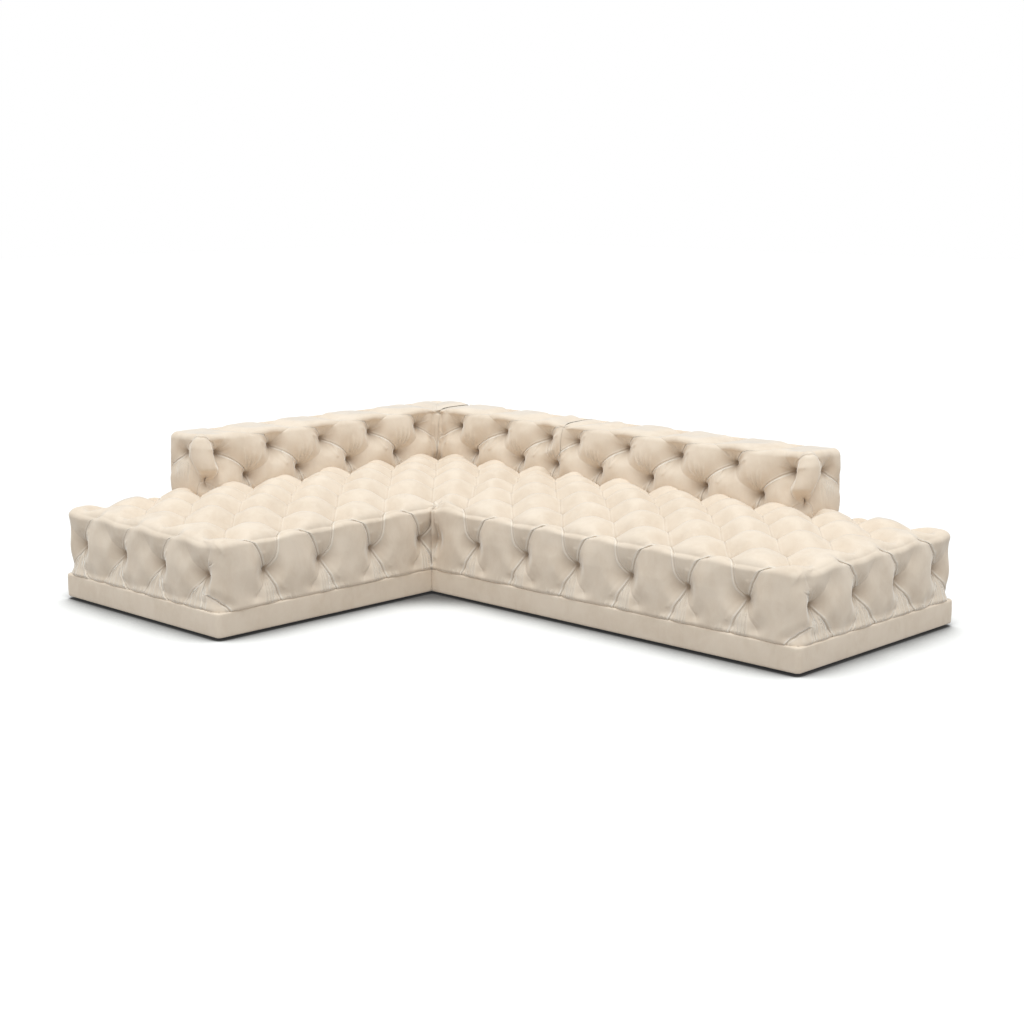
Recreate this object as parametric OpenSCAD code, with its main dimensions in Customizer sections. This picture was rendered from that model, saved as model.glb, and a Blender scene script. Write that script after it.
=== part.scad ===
// Deep tufted L-shaped lounge sofa: a chaise unit that takes the corner and a bench unit bolted to its side.
// The front looks towards -Y and the chaise runs forward on the left.
// The back follows the left and rear sides, and leaves the two ends open.
// Origin: on the floor, under the middle of the footprint.

/* [Overall] */
// Length of the sofa along its rear side
sofa_length = 3000; // [2600:10:3400]
// Reach of the chaise from the rear side to its open end
chaise_length = 2220; // [1900:10:2500]
// Depth of both wings
wing_depth = 1070; // [950:5:1200]
// Length of seat that the back leaves open at each free end
open_end = 550; // [450:5:650]
// Height of the back above the floor
back_top = 665; // [600:5:760]

/* [Plinth] */
// Height of the glides that carry the plinth
glide_height = 12; // [8:1:20]
// Diameter of a glide
glide_diameter = 50; // [30:1:55]
// Height of the upholstered plinth
plinth_height = 100; // [70:1:140]
// Thickness of the padded velvet band round the plinth
band_thickness = 12; // [8:1:16]
// Thickness of the plinth boards
plinth_board = 18; // [15:1:22]
// Side of the glide blocks in the plinth
glide_block = 60; // [56:1:80]
// Thickness of the dust cloth
dust_cloth = 1; // [0.6:0.1:2]
// Corner radius of the plinth band
band_corner = 18; // [10:1:30]
// Edge radius of the plinth band
band_edge = 5; // [3:0.5:5.5]

/* [Seat] */
// Height of the seat at its edge
seat_edge = 398; // [380:1:430]
// Rise of the seat from its edge to its middle
seat_crown = 70; // [30:1:90]
// Radius of the seat's upper edge
seat_round = 45; // [30:1:55]
// How far the side padding draws in at the plinth
foot_inset = 18; // [8:1:26]
// Thickness of the side padding outside the seat box
side_pad = 60; // [56:1:75]
// Thickness of the seat box boards
box_board = 22; // [18:1:28]
// Thickness of the flat base rails
base_rail = 18; // [15:1:22]
// Width of the flat base rails
base_rail_width = 95; // [85:1:120]
// Underside of the seat deck above the floor
deck_level = 300; // [270:1:310]
// Thickness of the plywood seat deck
deck_thickness = 12; // [9:1:15]
// Thickness of the foam slab on the deck
foam_slab = 38; // [20:1:45]

/* [Tufting] */
// Half the tuft spacing along a wing
tuft_half_long = 142.5; // [125:0.5:150]
// Half the tuft spacing across a wing
tuft_half_cross = 140; // [130:0.5:145]
// First tuft row from an open end
tuft_end_margin = 120; // [100:1:140]
// Height of the tuft row on the seat sides
side_tuft_level = 257; // [235:1:275]
// Depth of the tufts on top of the seat
top_tuft_depth = 32; // [15:1:40]
// Depth of the pleats on top of the seat
top_pleat_depth = 17; // [6:1:24]
// Depth of the tufts on the seat sides
side_tuft_depth = 42; // [20:1:44]
// Depth of the pleats on the seat sides
side_pleat_depth = 12; // [4:1:16]
// Diameter of a tuft tie
tie_diameter = 3; // [2:0.5:4]
// Diameter of the washer that anchors a tie
washer_diameter = 30; // [20:1:40]
// Thickness of a tie washer
washer_thickness = 3; // [2:0.5:4]

/* [Back] */
// Thickness of the back at its top
back_thickness = 240; // [220:1:280]
// Level where the back stands on the seat
back_foot = 392; // [388:1:398]
// How far the lower padding of the back swells forward
back_swell = 28; // [10:1:32]
// Radius of the back's upper edge
back_round = 38; // [25:1:45]
// Level of the upper tuft row of the back
upper_tuft_level = 589; // [570:1:600]
// Level of the lower tuft row of the back
lower_tuft_level = 472; // [455:1:490]
// Depth of the tufts in the back
back_tuft_depth = 45; // [20:1:48]
// Depth of the pleats in the back
back_pleat_depth = 15; // [5:1:20]
// Foam in front of the back's inner panel
back_foam = 30; // [20:1:32]
// Thickness of the plywood panel inside the back
back_panel = 12; // [9:1:15]
// Side of the posts and rails in the back frame
back_timber = 45; // [38:1:50]
// Thickness of the covered outer back panel
outer_panel = 8; // [5:1:10]
// Padding between the back frame and its top
back_top_pad = 32; // [26:1:45]
// Padding between the back frame and a free end
back_end_pad = 62; // [58:1:75]

/* [Fixings] */
// Width of a steel bracket that ties a back to its seat box
bracket_width = 60; // [40:1:70]
// Thickness of the steel brackets
bracket_thickness = 5; // [3:0.5:6]
// Shank diameter of the bolts that join the two units
bolt_diameter = 8; // [6:1:10]
// Clearance of a bolt or a bracket in its hole or slot
fixing_clearance = 1; // [0.5:0.1:2]

/* [Hidden] */
$fn = 48;
// Overrun of every cut
overrun = 5;

// Footprint
half_x = sofa_length / 2;
half_y = chaise_length / 2;
joint_x = wing_depth - half_x;
bench_length = sofa_length - wing_depth;
bench_y = half_y - wing_depth;
free_inner = chaise_length - wing_depth;

// Levels
plinth_top = glide_height + plinth_height;
rail_level = plinth_top - base_rail;
deck_top = deck_level + deck_thickness;
slab_top = deck_top + foam_slab;

// Chamfer of a glide, as a share of its height
glide_chamfer_share = 0.3;

// Insets of the hard parts from the outer faces
board_inset = band_thickness;
block_inset = board_inset + plinth_board;
joint_pad = side_pad / 2;
cloth_inset = band_thickness / 2;

// Room that a tie's washer takes beside the seat boards
washer_room = box_board + washer_diameter / 2 + fixing_clearance;
// Tuft rows: along a seat from its end at u = 0, and across it from its front
bench_rows = 2 * floor((bench_length - tuft_end_margin - joint_pad - washer_room) / tuft_half_long / 2);
bench_first = bench_length - tuft_end_margin - bench_rows * tuft_half_long;
chaise_rows = floor((chaise_length - tuft_end_margin) / tuft_half_long);
cross_rows = 2 * floor((wing_depth / 2 - side_pad - washer_room) / tuft_half_cross);
cross_first = (wing_depth - cross_rows * tuft_half_cross) / 2;
// Way over the edge from the outermost top tufts to the tufts on the side
side_drop = seat_edge - side_tuft_level;
// Reach of a tuft's pit, as a share of half the tuft spacing
pit_share = 0.55;
// How full a pillow is between its pleats: 1 is a sine, less is plumper
fullness_share = 0.5;
// Width over which the seat climbs to its crown
crown_run = wing_depth / 2;
// How softly that climb starts: 1 is a sine, more is softer
crown_exponent = 1.2;
// Set-back of the covers where two units meet
joint_round = 12;
// Levels of the point rows on the seat's sides, as shares of the way up to the side tufts and on to the edge
low_shares = [0, 0.26, 0.62];
high_shares = [0, 0.41];

// Tufts of the backs
back_height = back_top - back_foot;
back_open_margin = 130;
back_corner_margin = 106;
bench_back_first = 69;
corner_back_last = 108;
back_tuft_spacing = 300;
back_pit_reach = 78;
back_end_tuft_share = 0.7;
back_end_tuft = back_thickness * back_end_tuft_share;
back_rear_round = 25;
back_end_round = 30;
back_joint_round = 6;
// Least distance of a point row from a free end, as a share of the end's rounding
end_row_share = 1.5;
chaise_back_length = chaise_length - open_end;
corner_back_length = wing_depth - back_thickness;
bench_back_length = bench_length - open_end;

// How low the swell of the back's face sits: 1 is halfway up, less is lower
swell_exponent = 0.6;

// Layers of a back, from its rear face forward
frame_depth = 110;
back_front_pad = back_thickness - outer_panel - frame_depth - back_panel - back_foam;
back_joint_pad = 20;
back_slab_top = back_height - back_top_pad;
frame_from = back_front_pad + back_foam + back_panel;

// Brackets: how far they start above the plinth, how far they reach up the back as a share of its height,
// and their centres as shares of the length of the back that they hold
bracket_gap = 48;
bracket_reach_share = 0.4;
bracket_foot = plinth_top + bracket_gap;
bracket_head = back_foot + back_height * bracket_reach_share;
chaise_bracket_shares = [0.18, 0.5, 0.8];
corner_bracket_shares = [0.3, 0.7];
bench_bracket_shares = [0.15, 0.5, 0.8];
// Bolts through the two packers, as shares of the wing depth
bolt_shares = [0.25, 0.5, 0.75];
bolt_level = (glide_height + rail_level) / 2;
bolt_head = 6;
bolt_head_width = 14.4;
bolt_washer = 24;
// Bearers under a deck stand halfway between these tuft rows and the next ones
chaise_bearer_rows = [3, 7, 11];
bench_bearer_rows = [3, 7];
// Posts inside a back, as shares of the frame's length
long_post_shares = [0, 1 / 3, 2 / 3, 1];
short_post_shares = [0, 0.5, 1];

// Frames of the two units: u runs along the unit, v across it from its front
module in_chaise() translate([joint_x, -half_y, 0]) rotate([0, 0, 90]) children();
module in_bench() translate([joint_x, bench_y, 0]) children();

// Frames of the three backs: u along the back, v from its front face to its rear face
module in_chaise_back()
    translate([back_thickness - half_x, open_end - half_y, back_foot]) rotate([0, 0, 90]) children();
module in_corner_back()
    translate([back_thickness - half_x, half_y - back_thickness, back_foot]) children();
module in_bench_back()
    translate([joint_x, half_y - back_thickness, back_foot]) children();

// A box between two corners
module block(low, high) translate(low) cube(high - low);

// Shapes of tufted upholstery

function within(x, low, high) = min(max(x, low), high);

// Closeness to a tuft: 1 at its middle, 0 from its reach on
function pit(distance, reach) = pow(max(0, 1 - distance / reach), 2);

// Fullness of a diamond pillow at lattice place (a, b).
// Tufts lie wherever a and b are whole and a + b is even.
function diamond(a, b) = pow(abs(sin(90 * (a + b)) * sin(90 * (a - b))), fullness_share);

// Fullness of a straight channel whose pleats lie at even places
function channel(a) = pow(abs(sin(90 * a)), fullness_share);

// Closeness to the nearest lattice tuft
function lattice_pit(a, b) =
    let (s = (a + b) / 2, t = (a - b) / 2)
    pit(norm([s - round(s), t - round(t)]) * sqrt(2), pit_share);

// A block's surface point with rounded edges: [point, outward direction]
function rounded(p, size, low_round, high_round) =
    let (q = [
        within(p.x, low_round.x, size.x - high_round.x),
        within(p.y, low_round.y, size.y - high_round.y),
        min(p.z, size.z - high_round.z)
    ])
    let (r = [for (k = [0:2]) p[k] < q[k] ? low_round[k] : high_round[k]])
    let (d = [for (k = [0:2]) (p[k] - q[k]) / r[k]])
    let (n = norm(d) > 0 ? d / norm(d) : d)
    [[for (k = [0:2]) q[k] + n[k] * r[k]], n];

// Depth of the tufting on the top of a seat at (u, v)
function seat_top_depth(u, v, first, rows) =
    let (side = min(v, wing_depth - v))
    let (b = (side - cross_first) / (side < cross_first ? cross_first + side_drop : tuft_half_cross))
    let (a = (u - first) / tuft_half_long)
    let (past = max(-a, a - rows))
    let (c = (v - cross_first) / tuft_half_cross)
    past > 0
        ? top_pleat_depth * (1 - channel(c))
            + (top_tuft_depth - top_pleat_depth) * pit(norm([past, c - 2 * round(c / 2)]), pit_share)
        : top_pleat_depth * (1 - diamond(a, b))
            + (top_tuft_depth - top_pleat_depth) * lattice_pit(a, b);

// Depth of the tufting on the long side of a seat at (u, z)
function seat_long_depth(u, z, first, rows) =
    let (a = within((u - first) / tuft_half_long, 0, rows))
    let (b = z > side_tuft_level
        ? -(cross_first + seat_edge - z) / (cross_first + side_drop)
        : -1 - (side_tuft_level - z) / (side_tuft_level - plinth_top))
    let (odd = 2 * round((a - 1) / 2) + 1)
    let (near_pit = odd > 0 && odd < rows
        ? pit(norm([a - odd, (z - side_tuft_level) / tuft_half_long]), pit_share)
        : 0)
    side_pleat_depth * (1 - diamond(a, b)) + (side_tuft_depth - side_pleat_depth) * near_pit;

// Depth of the tufting on the end of a seat at (v, z)
function seat_end_depth(v, z) =
    let (c = (v - cross_first) / tuft_half_cross)
    let (even = 2 * round(within(c, 0, cross_rows) / 2))
    let (fullness = z > side_tuft_level
        ? channel(c)
        : diamond(c, (side_tuft_level - z) / (side_tuft_level - plinth_top)))
    side_pleat_depth * (1 - fullness)
        + (side_tuft_depth - side_pleat_depth)
            * pit(norm([c - even, (z - side_tuft_level) / tuft_half_long]), pit_share);

// Share of the crown reached at this distance from a free edge
function crown_share(m) = pow(sin(90 * within(m / crown_run, 0, 1)), crown_exponent);

// A seat point. covered(u, v) is true under a back, meets(p) on a face that touches the other unit,
// and edge(u, v) gives the distances to the free edges along and across.
function seat_point(p, len, first, rows, covered, meets, edge) =
    let (touch = meets(p))
    let (low = [
        touch && p.x == 0 ? joint_round : seat_round,
        touch && p.y == 0 ? joint_round : seat_round,
        seat_round
    ])
    let (shell = rounded(p, [len, wing_depth, seat_edge], low, [seat_round, seat_round, seat_round]))
    let (q = shell[0], n = shell[1])
    let (pressed = covered(p.x, p.y))
    let (top = pressed ? 0 : seat_top_depth(p.x, p.y, first, rows))
    let (long = touch && p.y == 0 ? 0 : seat_long_depth(p.x, p.z, first, rows))
    let (end = touch && p.x == 0 ? 0 : seat_end_depth(p.y, p.z))
    let (depth = n.x * n.x * end + n.y * n.y * long + n.z * n.z * top)
    let (foot = touch ? 0 : foot_inset
        * pow(max(0, (side_tuft_level - p.z) / (side_tuft_level - plinth_top)), 2))
    let (m = edge(p.x, p.y))
    let (rise = pressed ? back_foot - seat_edge : seat_crown * crown_share(m[0]) * crown_share(m[1]))
    let (lift = rise * max(0, (p.z - side_tuft_level) / side_drop))
    q - n * depth - [n.x, n.y, 0] * foot + [0, 0, lift];

// Point rows of a block, edge to edge
function seat_rows(len, first, rows) = concat(
    [0, seat_round],
    [for (k = [0:2 * rows]) first + k * tuft_half_long / 2],
    [len - seat_round, len]);
function cross_points() = concat(
    [0, seat_round],
    [for (k = [0:2 * cross_rows]) cross_first + k * tuft_half_cross / 2],
    [wing_depth - seat_round, wing_depth]);
function seat_levels() = concat(
    [for (s = low_shares) plinth_top + s * (side_tuft_level - plinth_top)],
    [for (s = high_shares) side_tuft_level + s * side_drop],
    [seat_edge - seat_round, seat_edge]);

// The outline of a block's point rows, counter-clockwise from above
function outline(us, vs) = concat(
    [for (i = [0:len(us) - 2]) [us[i], vs[0]]],
    [for (j = [0:len(vs) - 2]) [us[len(us) - 1], vs[j]]],
    [for (i = [len(us) - 1:-1:1]) [us[i], vs[len(vs) - 1]]],
    [for (j = [len(vs) - 1:-1:1]) [us[0], vs[j]]]);

// A closed block skinned through place(p), with its point rows at us, vs and zs.
// The diagonals of its top follow the diamond pleats.
module skin_block(us, vs, zs, place) {
    nu = len(us);
    nv = len(vs);
    nz = len(zs);
    ring = outline(us, vs);
    n = len(ring);
    inner = n * nz;
    function top(i, j) =
        j == 0 ? (nz - 1) * n + i :
        i == nu - 1 ? (nz - 1) * n + nu - 1 + j :
        j == nv - 1 ? (nz - 1) * n + 2 * nu + nv - 3 - i :
        i == 0 ? (nz - 1) * n + 2 * nu + 2 * nv - 4 - j :
        inner + (i - 1) * (nv - 2) + j - 1;
    points = concat(
        [for (z = zs) for (q = ring) place([q.x, q.y, z])],
        [for (i = [1:nu - 2]) for (j = [1:nv - 2]) place([us[i], vs[j], zs[nz - 1]])]);
    sides = [for (k = [0:nz - 2]) for (m = [0:n - 1])
        let (a = k * n + m, b = k * n + (m + 1) % n)
        each (k + m) % 2 == 0 ? [[a, a + n, b + n], [a, b + n, b]] : [[a, a + n, b], [a + n, b + n, b]]];
    tops = [for (i = [0:nu - 2]) for (j = [0:nv - 2])
        let (a = top(i, j), b = top(i, j + 1), c = top(i + 1, j + 1), d = top(i + 1, j))
        each (i + j) % 2 == 0 ? [[a, b, c], [a, c, d]] : [[a, b, d], [b, c, d]]];
    polyhedron(points, concat(sides, tops, [[for (m = [0:n - 1]) m]]));
}

// Hard parts shared by the two units, in a unit's own frame

// Four boards on edge, butted inside the box low to high
module board_ring(low, high, thickness) {
    block(low, [high.x, low.y + thickness, high.z]);
    block([low.x, high.y - thickness, low.z], high);
    for (x = [low.x, high.x - thickness])
        block([x, low.y + thickness, low.z], [x + thickness, high.y - thickness, high.z]);
}

module plinth_boards(len) {
    board_ring([board_inset, board_inset, glide_height],
        [len - board_inset, wing_depth - board_inset, rail_level], plinth_board);
}

// Places of the glide blocks: the corners and the middle of both long sides
function block_places(len) = [
    for (u = [block_inset, (len - glide_block) / 2, len - block_inset - glide_block])
    for (v = [block_inset, wing_depth - block_inset - glide_block]) [u, v]];

module glide_blocks(len) {
    for (q = block_places(len))
        block([q.x, q.y, glide_height], [q.x + glide_block, q.y + glide_block, rail_level]);
}

// A glide: a flat disc with a chamfered rim
module glide() {
    r = glide_diameter / 2;
    h = glide_height - dust_cloth;
    c = h * glide_chamfer_share;
    rotate_extrude() polygon([[0, 0], [r - c, 0], [r, c], [r, h], [0, h]]);
}

module glides(len) {
    for (q = block_places(len))
        translate([q.x + glide_block / 2, q.y + glide_block / 2, 0]) glide();
}

module dust_cloth_sheet(len) {
    block([cloth_inset, cloth_inset, glide_height - dust_cloth],
        [len - cloth_inset, wing_depth - cloth_inset, glide_height]);
}

// Flat rails that lie on the plinth boards and carry the seat box and the foot of the cover
module base_rails(len) {
    board_ring([board_inset, board_inset, rail_level],
        [len - board_inset, wing_depth - board_inset, plinth_top], base_rail_width);
}

// The inside of a seat: [low corner, high corner] in plan, with its own pad at u = 0
function seat_box(len, first_pad) = [[first_pad, side_pad], [len - side_pad, wing_depth - side_pad]];

module seat_boards(box) {
    board_ring([box[0].x, box[0].y, plinth_top], [box[1].x, box[1].y, deck_level], box_board);
}

module seat_bearers(box, first, rows) {
    for (row = rows) {
        u = first + (row + 0.5) * tuft_half_long - box_board / 2;
        block([u, box[0].y + box_board, plinth_top], [u + box_board, box[1].y - box_board, deck_level]);
    }
}

// Every tuft on top of a seat that the back leaves free
function tuft_places(first, rows, covered) = [
    for (i = [0:rows]) for (j = [0:cross_rows])
        let (u = first + i * tuft_half_long, v = cross_first + j * tuft_half_cross)
        if ((i + j) % 2 == 0 && !covered(u, v)) [u, v]];

module tie_holes(places, low, high) {
    for (q = places)
        translate([q.x, q.y, low - overrun])
            cylinder(d = tie_diameter + fixing_clearance * 2, h = high - low + overrun * 2, $fn = 24);
}

module seat_deck(box, places) {
    difference() {
        block([box[0].x, box[0].y, deck_level], [box[1].x, box[1].y, deck_top]);
        tie_holes(places, deck_level, deck_top);
    }
}

module seat_foam(box, places) {
    difference() {
        block([box[0].x, box[0].y, deck_top], [box[1].x, box[1].y, slab_top]);
        tie_holes(places, deck_top, slab_top);
    }
}

module tie_washers(places) {
    for (q = places)
        translate([q.x, q.y, deck_level - washer_thickness])
            difference() {
                cylinder(d = washer_diameter, h = washer_thickness, $fn = 32);
                translate([0, 0, -overrun])
                    cylinder(d = tie_diameter, h = washer_thickness + overrun * 2, $fn = 24);
            }
}

// Twine from under the washers up to the cover
module tuft_ties(places) {
    for (q = places)
        translate([q.x, q.y, deck_level - washer_thickness])
            cylinder(d = tie_diameter, h = slab_top - deck_level + washer_thickness, $fn = 24);
}

// A seat cover: the tufted skin and its padding, hollow over the seat box
module seat_cover(len, first, rows, box, covered, meets, edge) {
    difference() {
        skin_block(seat_rows(len, first, rows), cross_points(), seat_levels(),
            function(p) seat_point(p, len, first, rows, covered, meets, edge));
        block([box[0].x, box[0].y, plinth_top - overrun], [box[1].x, box[1].y, slab_top]);
    }
}

// A straight stretch of padded plinth band: its outer face at v = 0, u along it.
// An end set to 1 is mitred for an outer corner, and one set to 0 is square.
module band(len, mitre_low, mitre_high) {
    t = band_thickness;
    r = band_corner;
    e = band_edge;
    translate([0, 0, glide_height]) difference() {
        rotate([90, 0, 90]) linear_extrude(len)
            union() {
                translate([0, e]) square([t, plinth_height - e * 2]);
                translate([e, 0]) square([t - e, plinth_height]);
                for (z = [e, plinth_height - e]) translate([e, z]) circle(e);
            }
        for (end = [0, 1])
            if ((end == 0 ? mitre_low : mitre_high) == 1)
                translate([end * len, 0, 0]) mirror([end, 0, 0]) {
                    translate([0, 0, -overrun]) linear_extrude(plinth_height + overrun * 2) polygon([
                        [-overrun, -overrun], [-overrun, t + overrun], [0, t + overrun], [t, t], [0, 0]
                    ]);
                    difference() {
                        translate([-overrun, -overrun, -overrun])
                            cube([r + overrun, r + overrun, plinth_height + overrun * 2]);
                        translate([r, r, -overrun * 2]) cylinder(r = r, h = plinth_height + overrun * 4);
                    }
                }
    }
}

// Where the two units are bolted together, the band gives way to a plain packer
module joint_packer(low, high) {
    block([low.x, low.y, glide_height], [high.x, high.y, plinth_top]);
}

// Backs

// Tuft places of a back's front face, [u, z] from its foot
function upper_tufts(first, count, half) = [
    for (k = [0:count - 1]) [first + 2 * k * half, upper_tuft_level - back_foot]];
function lower_tufts(first, count, half) = [
    for (k = [0:count - 2]) [first + (2 * k + 1) * half, lower_tuft_level - back_foot]];

function tuft_count(len, first, last) = round((len - first - last) / back_tuft_spacing) + 1;
function tuft_half(len, first, last) = (len - first - last) / (tuft_count(len, first, last) - 1) / 2;

// Swell of the front face at height z above the back's foot
function swell(z) = back_swell * sin(180 * pow(within(z / back_height, 0, 1), swell_exponent));

// Depth of the pleats on the front face at (u, z)
function back_front_depth(u, z, first, half) =
    let (a = (u - first) / half)
    let (up = upper_tuft_level - back_foot, low = lower_tuft_level - back_foot)
    let (fullness = z < low ? channel(a - 1)
        : z < up ? diamond(a, (z - up) / (up - low))
        : diamond(a, (z - up) / (back_height - up)))
    back_pleat_depth * (1 - fullness);

// A back point: reach [low, high] is the part of the front face that is free,
// and free_ends says whether the ends at u = 0 and at the far end are free.
function back_point(p, len, reach, first, half, free_ends, pits) =
    let (edge = [for (e = free_ends) e ? back_end_round : back_joint_round])
    let (front = p.x >= reach[0] && p.x <= reach[1] ? back_round : back_joint_round)
    let (shell = rounded(p, [len, back_thickness, back_height],
        [edge[0], front, back_round], [edge[1], back_rear_round, back_round]))
    let (q = shell[0], n = shell[1])
    let (open = front == back_round && n.y <= 0 ? 1 : 0)
    let (tufted = open * n.y * n.y * back_front_depth(p.x, p.z, first, half)
        + n.z * n.z * open * back_pleat_depth / 2 * (1 - channel((p.x - first) / half - 1)))
    let (sunk = open * (len(pits) > 0 ? max([for (t = pits) pit(norm(p - t), back_pit_reach)]) : 0))
    q - n * max(tufted, back_tuft_depth * sunk) - [0, open * n.y * n.y * swell(p.z), 0];

function back_rows(len, first, half, count) = concat(
    [0, back_end_round],
    [for (k = [0:4 * (count - 1)])
        let (u = first + k * half / 2)
        if (u > back_end_round * end_row_share && u < len - back_end_round * end_row_share) u],
    [len - back_end_round, len]);
function back_levels() = [
    0,
    (lower_tuft_level - back_foot) / 2,
    lower_tuft_level - back_foot,
    (lower_tuft_level + upper_tuft_level) / 2 - back_foot,
    upper_tuft_level - back_foot,
    back_height - back_round,
    back_height];

// The box that a back's frame, panel and foam fill: [u range]
function back_box(len, free_ends) = [
    free_ends[0] ? back_end_pad : back_joint_pad,
    len - (free_ends[1] ? back_end_pad : back_joint_pad)];

module back_cover(len, reach, first, last, free_ends, corner_pits) {
    face = reach[1] - reach[0];
    half = tuft_half(face, first, last);
    count = tuft_count(face, first, last);
    pits = concat(
        [for (t = concat(upper_tufts(first, count, half), lower_tufts(first, count, half))) [t[0], 0, t[1]]],
        corner_pits);
    box = back_box(len, free_ends);
    difference() {
        skin_block(back_rows(len, first, half, count + 1),
            [0, back_round, back_end_tuft, back_thickness - back_rear_round, back_thickness], back_levels(),
            function(p) back_point(p, len, reach, first, half, free_ends, pits));
        block([box[0], back_front_pad, -overrun], [box[1], back_thickness + overrun, back_slab_top]);
    }
}

module back_slab(box, from, thickness) {
    block([box[0], from, 0], [box[1], from + thickness, back_slab_top]);
}

module back_rails(box) {
    for (z = [0, back_slab_top - back_timber])
        block([box[0], frame_from, z], [box[1], frame_from + frame_depth, z + back_timber]);
}

module back_posts(box, shares) {
    for (s = shares) {
        u = box[0] + s * (box[1] - box[0] - back_timber);
        block([u, frame_from, back_timber],
            [u + back_timber, frame_from + frame_depth, back_slab_top - back_timber]);
    }
}

module back_inner_panel(box) {
    back_slab(box, back_front_pad + back_foam, back_panel);
}

module back_foam_slab(box) {
    back_slab(box, back_front_pad, back_foam);
}

module outer_back_panel(box) {
    back_slab(box, back_thickness - outer_panel, outer_panel);
}

// What the backs cover on the seats, with half a point row to spare
function chaise_covered(u, v) =
    (u > open_end - tuft_half_long / 2 && v > wing_depth - back_thickness - tuft_half_cross / 2)
        || u > chaise_length - back_thickness - tuft_half_long / 2;
function bench_covered(u, v) =
    u < bench_back_length + tuft_half_long / 2 && v > wing_depth - back_thickness - tuft_half_cross / 2;

// Distances of a seat place from the free edges, along and across
function chaise_edges(u, v) = [
    u,
    u > free_inner
        ? min(norm([v, u - free_inner]), wing_depth - v, chaise_length - u)
        : min(v, wing_depth - v)];
function bench_edges(u, v) = [bench_length - u, min(v, wing_depth - v)];

chaise_box = seat_box(chaise_length, side_pad);
bench_box = seat_box(bench_length, joint_pad);
chaise_tufts = tuft_places(tuft_end_margin, chaise_rows, function(u, v) chaise_covered(u, v));
bench_tufts = tuft_places(bench_first, bench_rows, function(u, v) bench_covered(u, v));
chaise_back_box = back_box(chaise_back_length, [true, true]);
corner_back_box = back_box(corner_back_length, [false, false]);
bench_back_box = back_box(bench_back_length, [false, true]);

// Steel brackets inside the left and rear seat boards, grown by spare for their slots
module brackets(spare) {
    plane = side_pad + box_board;
    w = bracket_width / 2 + spare;
    for (s = chaise_bracket_shares) {
        y = open_end - half_y + s * chaise_back_length;
        block([plane - half_x, y - w, bracket_foot],
            [plane - half_x + bracket_thickness + spare, y + w, bracket_head]);
    }
    rear = concat(
        [for (s = corner_bracket_shares) back_thickness - half_x + s * corner_back_length],
        [for (s = bench_bracket_shares) joint_x + s * bench_back_length]);
    for (x = rear)
        block([x - w, half_y - plane - bracket_thickness - spare, bracket_foot],
            [x + w, half_y - plane, bracket_head]);
}

module bracket_slots() {
    spare = fixing_clearance;
    plane = side_pad + box_board - spare;
    brackets(spare);
    for (s = chaise_bracket_shares) {
        y = open_end - half_y + s * chaise_back_length;
        block([plane - half_x, y - bracket_width / 2 - spare, deck_level - overrun],
            [plane - half_x + spare, y + bracket_width / 2 + spare, bracket_head]);
    }
}

// Places of the bolts through the joint, along the bench unit's end
function bolt_places() = [for (s = bolt_shares) [joint_x, bench_y + s * wing_depth, bolt_level]];

module bolt_holes() {
    reach = block_inset + overrun;
    for (q = bolt_places())
        translate([q.x - reach, q.y, q.z]) rotate([0, 90, 0])
            cylinder(d = bolt_diameter + fixing_clearance, h = reach * 2);
}

// Node modules of the chaise unit
module chaise_glides() color("dimgray") in_chaise() glides(chaise_length);
module chaise_dust_cloth() color("black") in_chaise() dust_cloth_sheet(chaise_length);
module chaise_plinth_boards() color("burlywood") difference() {
    in_chaise() plinth_boards(chaise_length);
    bolt_holes();
}
module chaise_glide_blocks() color("tan") in_chaise() glide_blocks(chaise_length);
module chaise_base_rails() color("burlywood") in_chaise() base_rails(chaise_length);
module chaise_seat_boards() color("burlywood") in_chaise() seat_boards(chaise_box);
module chaise_seat_bearers() color("tan") in_chaise()
    seat_bearers(chaise_box, tuft_end_margin, chaise_bearer_rows);
module chaise_seat_deck() color("wheat") difference() {
    in_chaise() seat_deck(chaise_box, chaise_tufts);
    bracket_slots();
}
module chaise_seat_foam() color("khaki") difference() {
    in_chaise() seat_foam(chaise_box, chaise_tufts);
    bracket_slots();
}
module chaise_tie_washers() color("gainsboro") in_chaise() tie_washers(chaise_tufts);
module chaise_tuft_ties() color("ivory") in_chaise() tuft_ties(chaise_tufts);
module chaise_seat_cover() color("antiquewhite") difference() {
    in_chaise() seat_cover(chaise_length, tuft_end_margin, chaise_rows, chaise_box,
        function(u, v) chaise_covered(u, v),
        function(p) p.y == 0 && p.x > free_inner,
        function(u, v) chaise_edges(u, v));
    bracket_slots();
}
module chaise_joint_packer() color("wheat") difference() {
    in_chaise() joint_packer([free_inner, 0], [chaise_length - band_thickness, band_thickness]);
    bolt_holes();
}
module chaise_band_inner() color("antiquewhite") in_chaise() band(free_inner, 1, 0);
module chaise_band_end() color("antiquewhite") in_chaise()
    translate([0, wing_depth, 0]) rotate(-90) band(wing_depth, 1, 1);
module chaise_band_outer() color("antiquewhite") in_chaise()
    translate([chaise_length, wing_depth, 0]) rotate(180) band(chaise_length, 1, 1);
module chaise_band_rear() color("antiquewhite") in_chaise()
    translate([chaise_length, 0, 0]) rotate(90) band(wing_depth, 0, 1);

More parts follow.
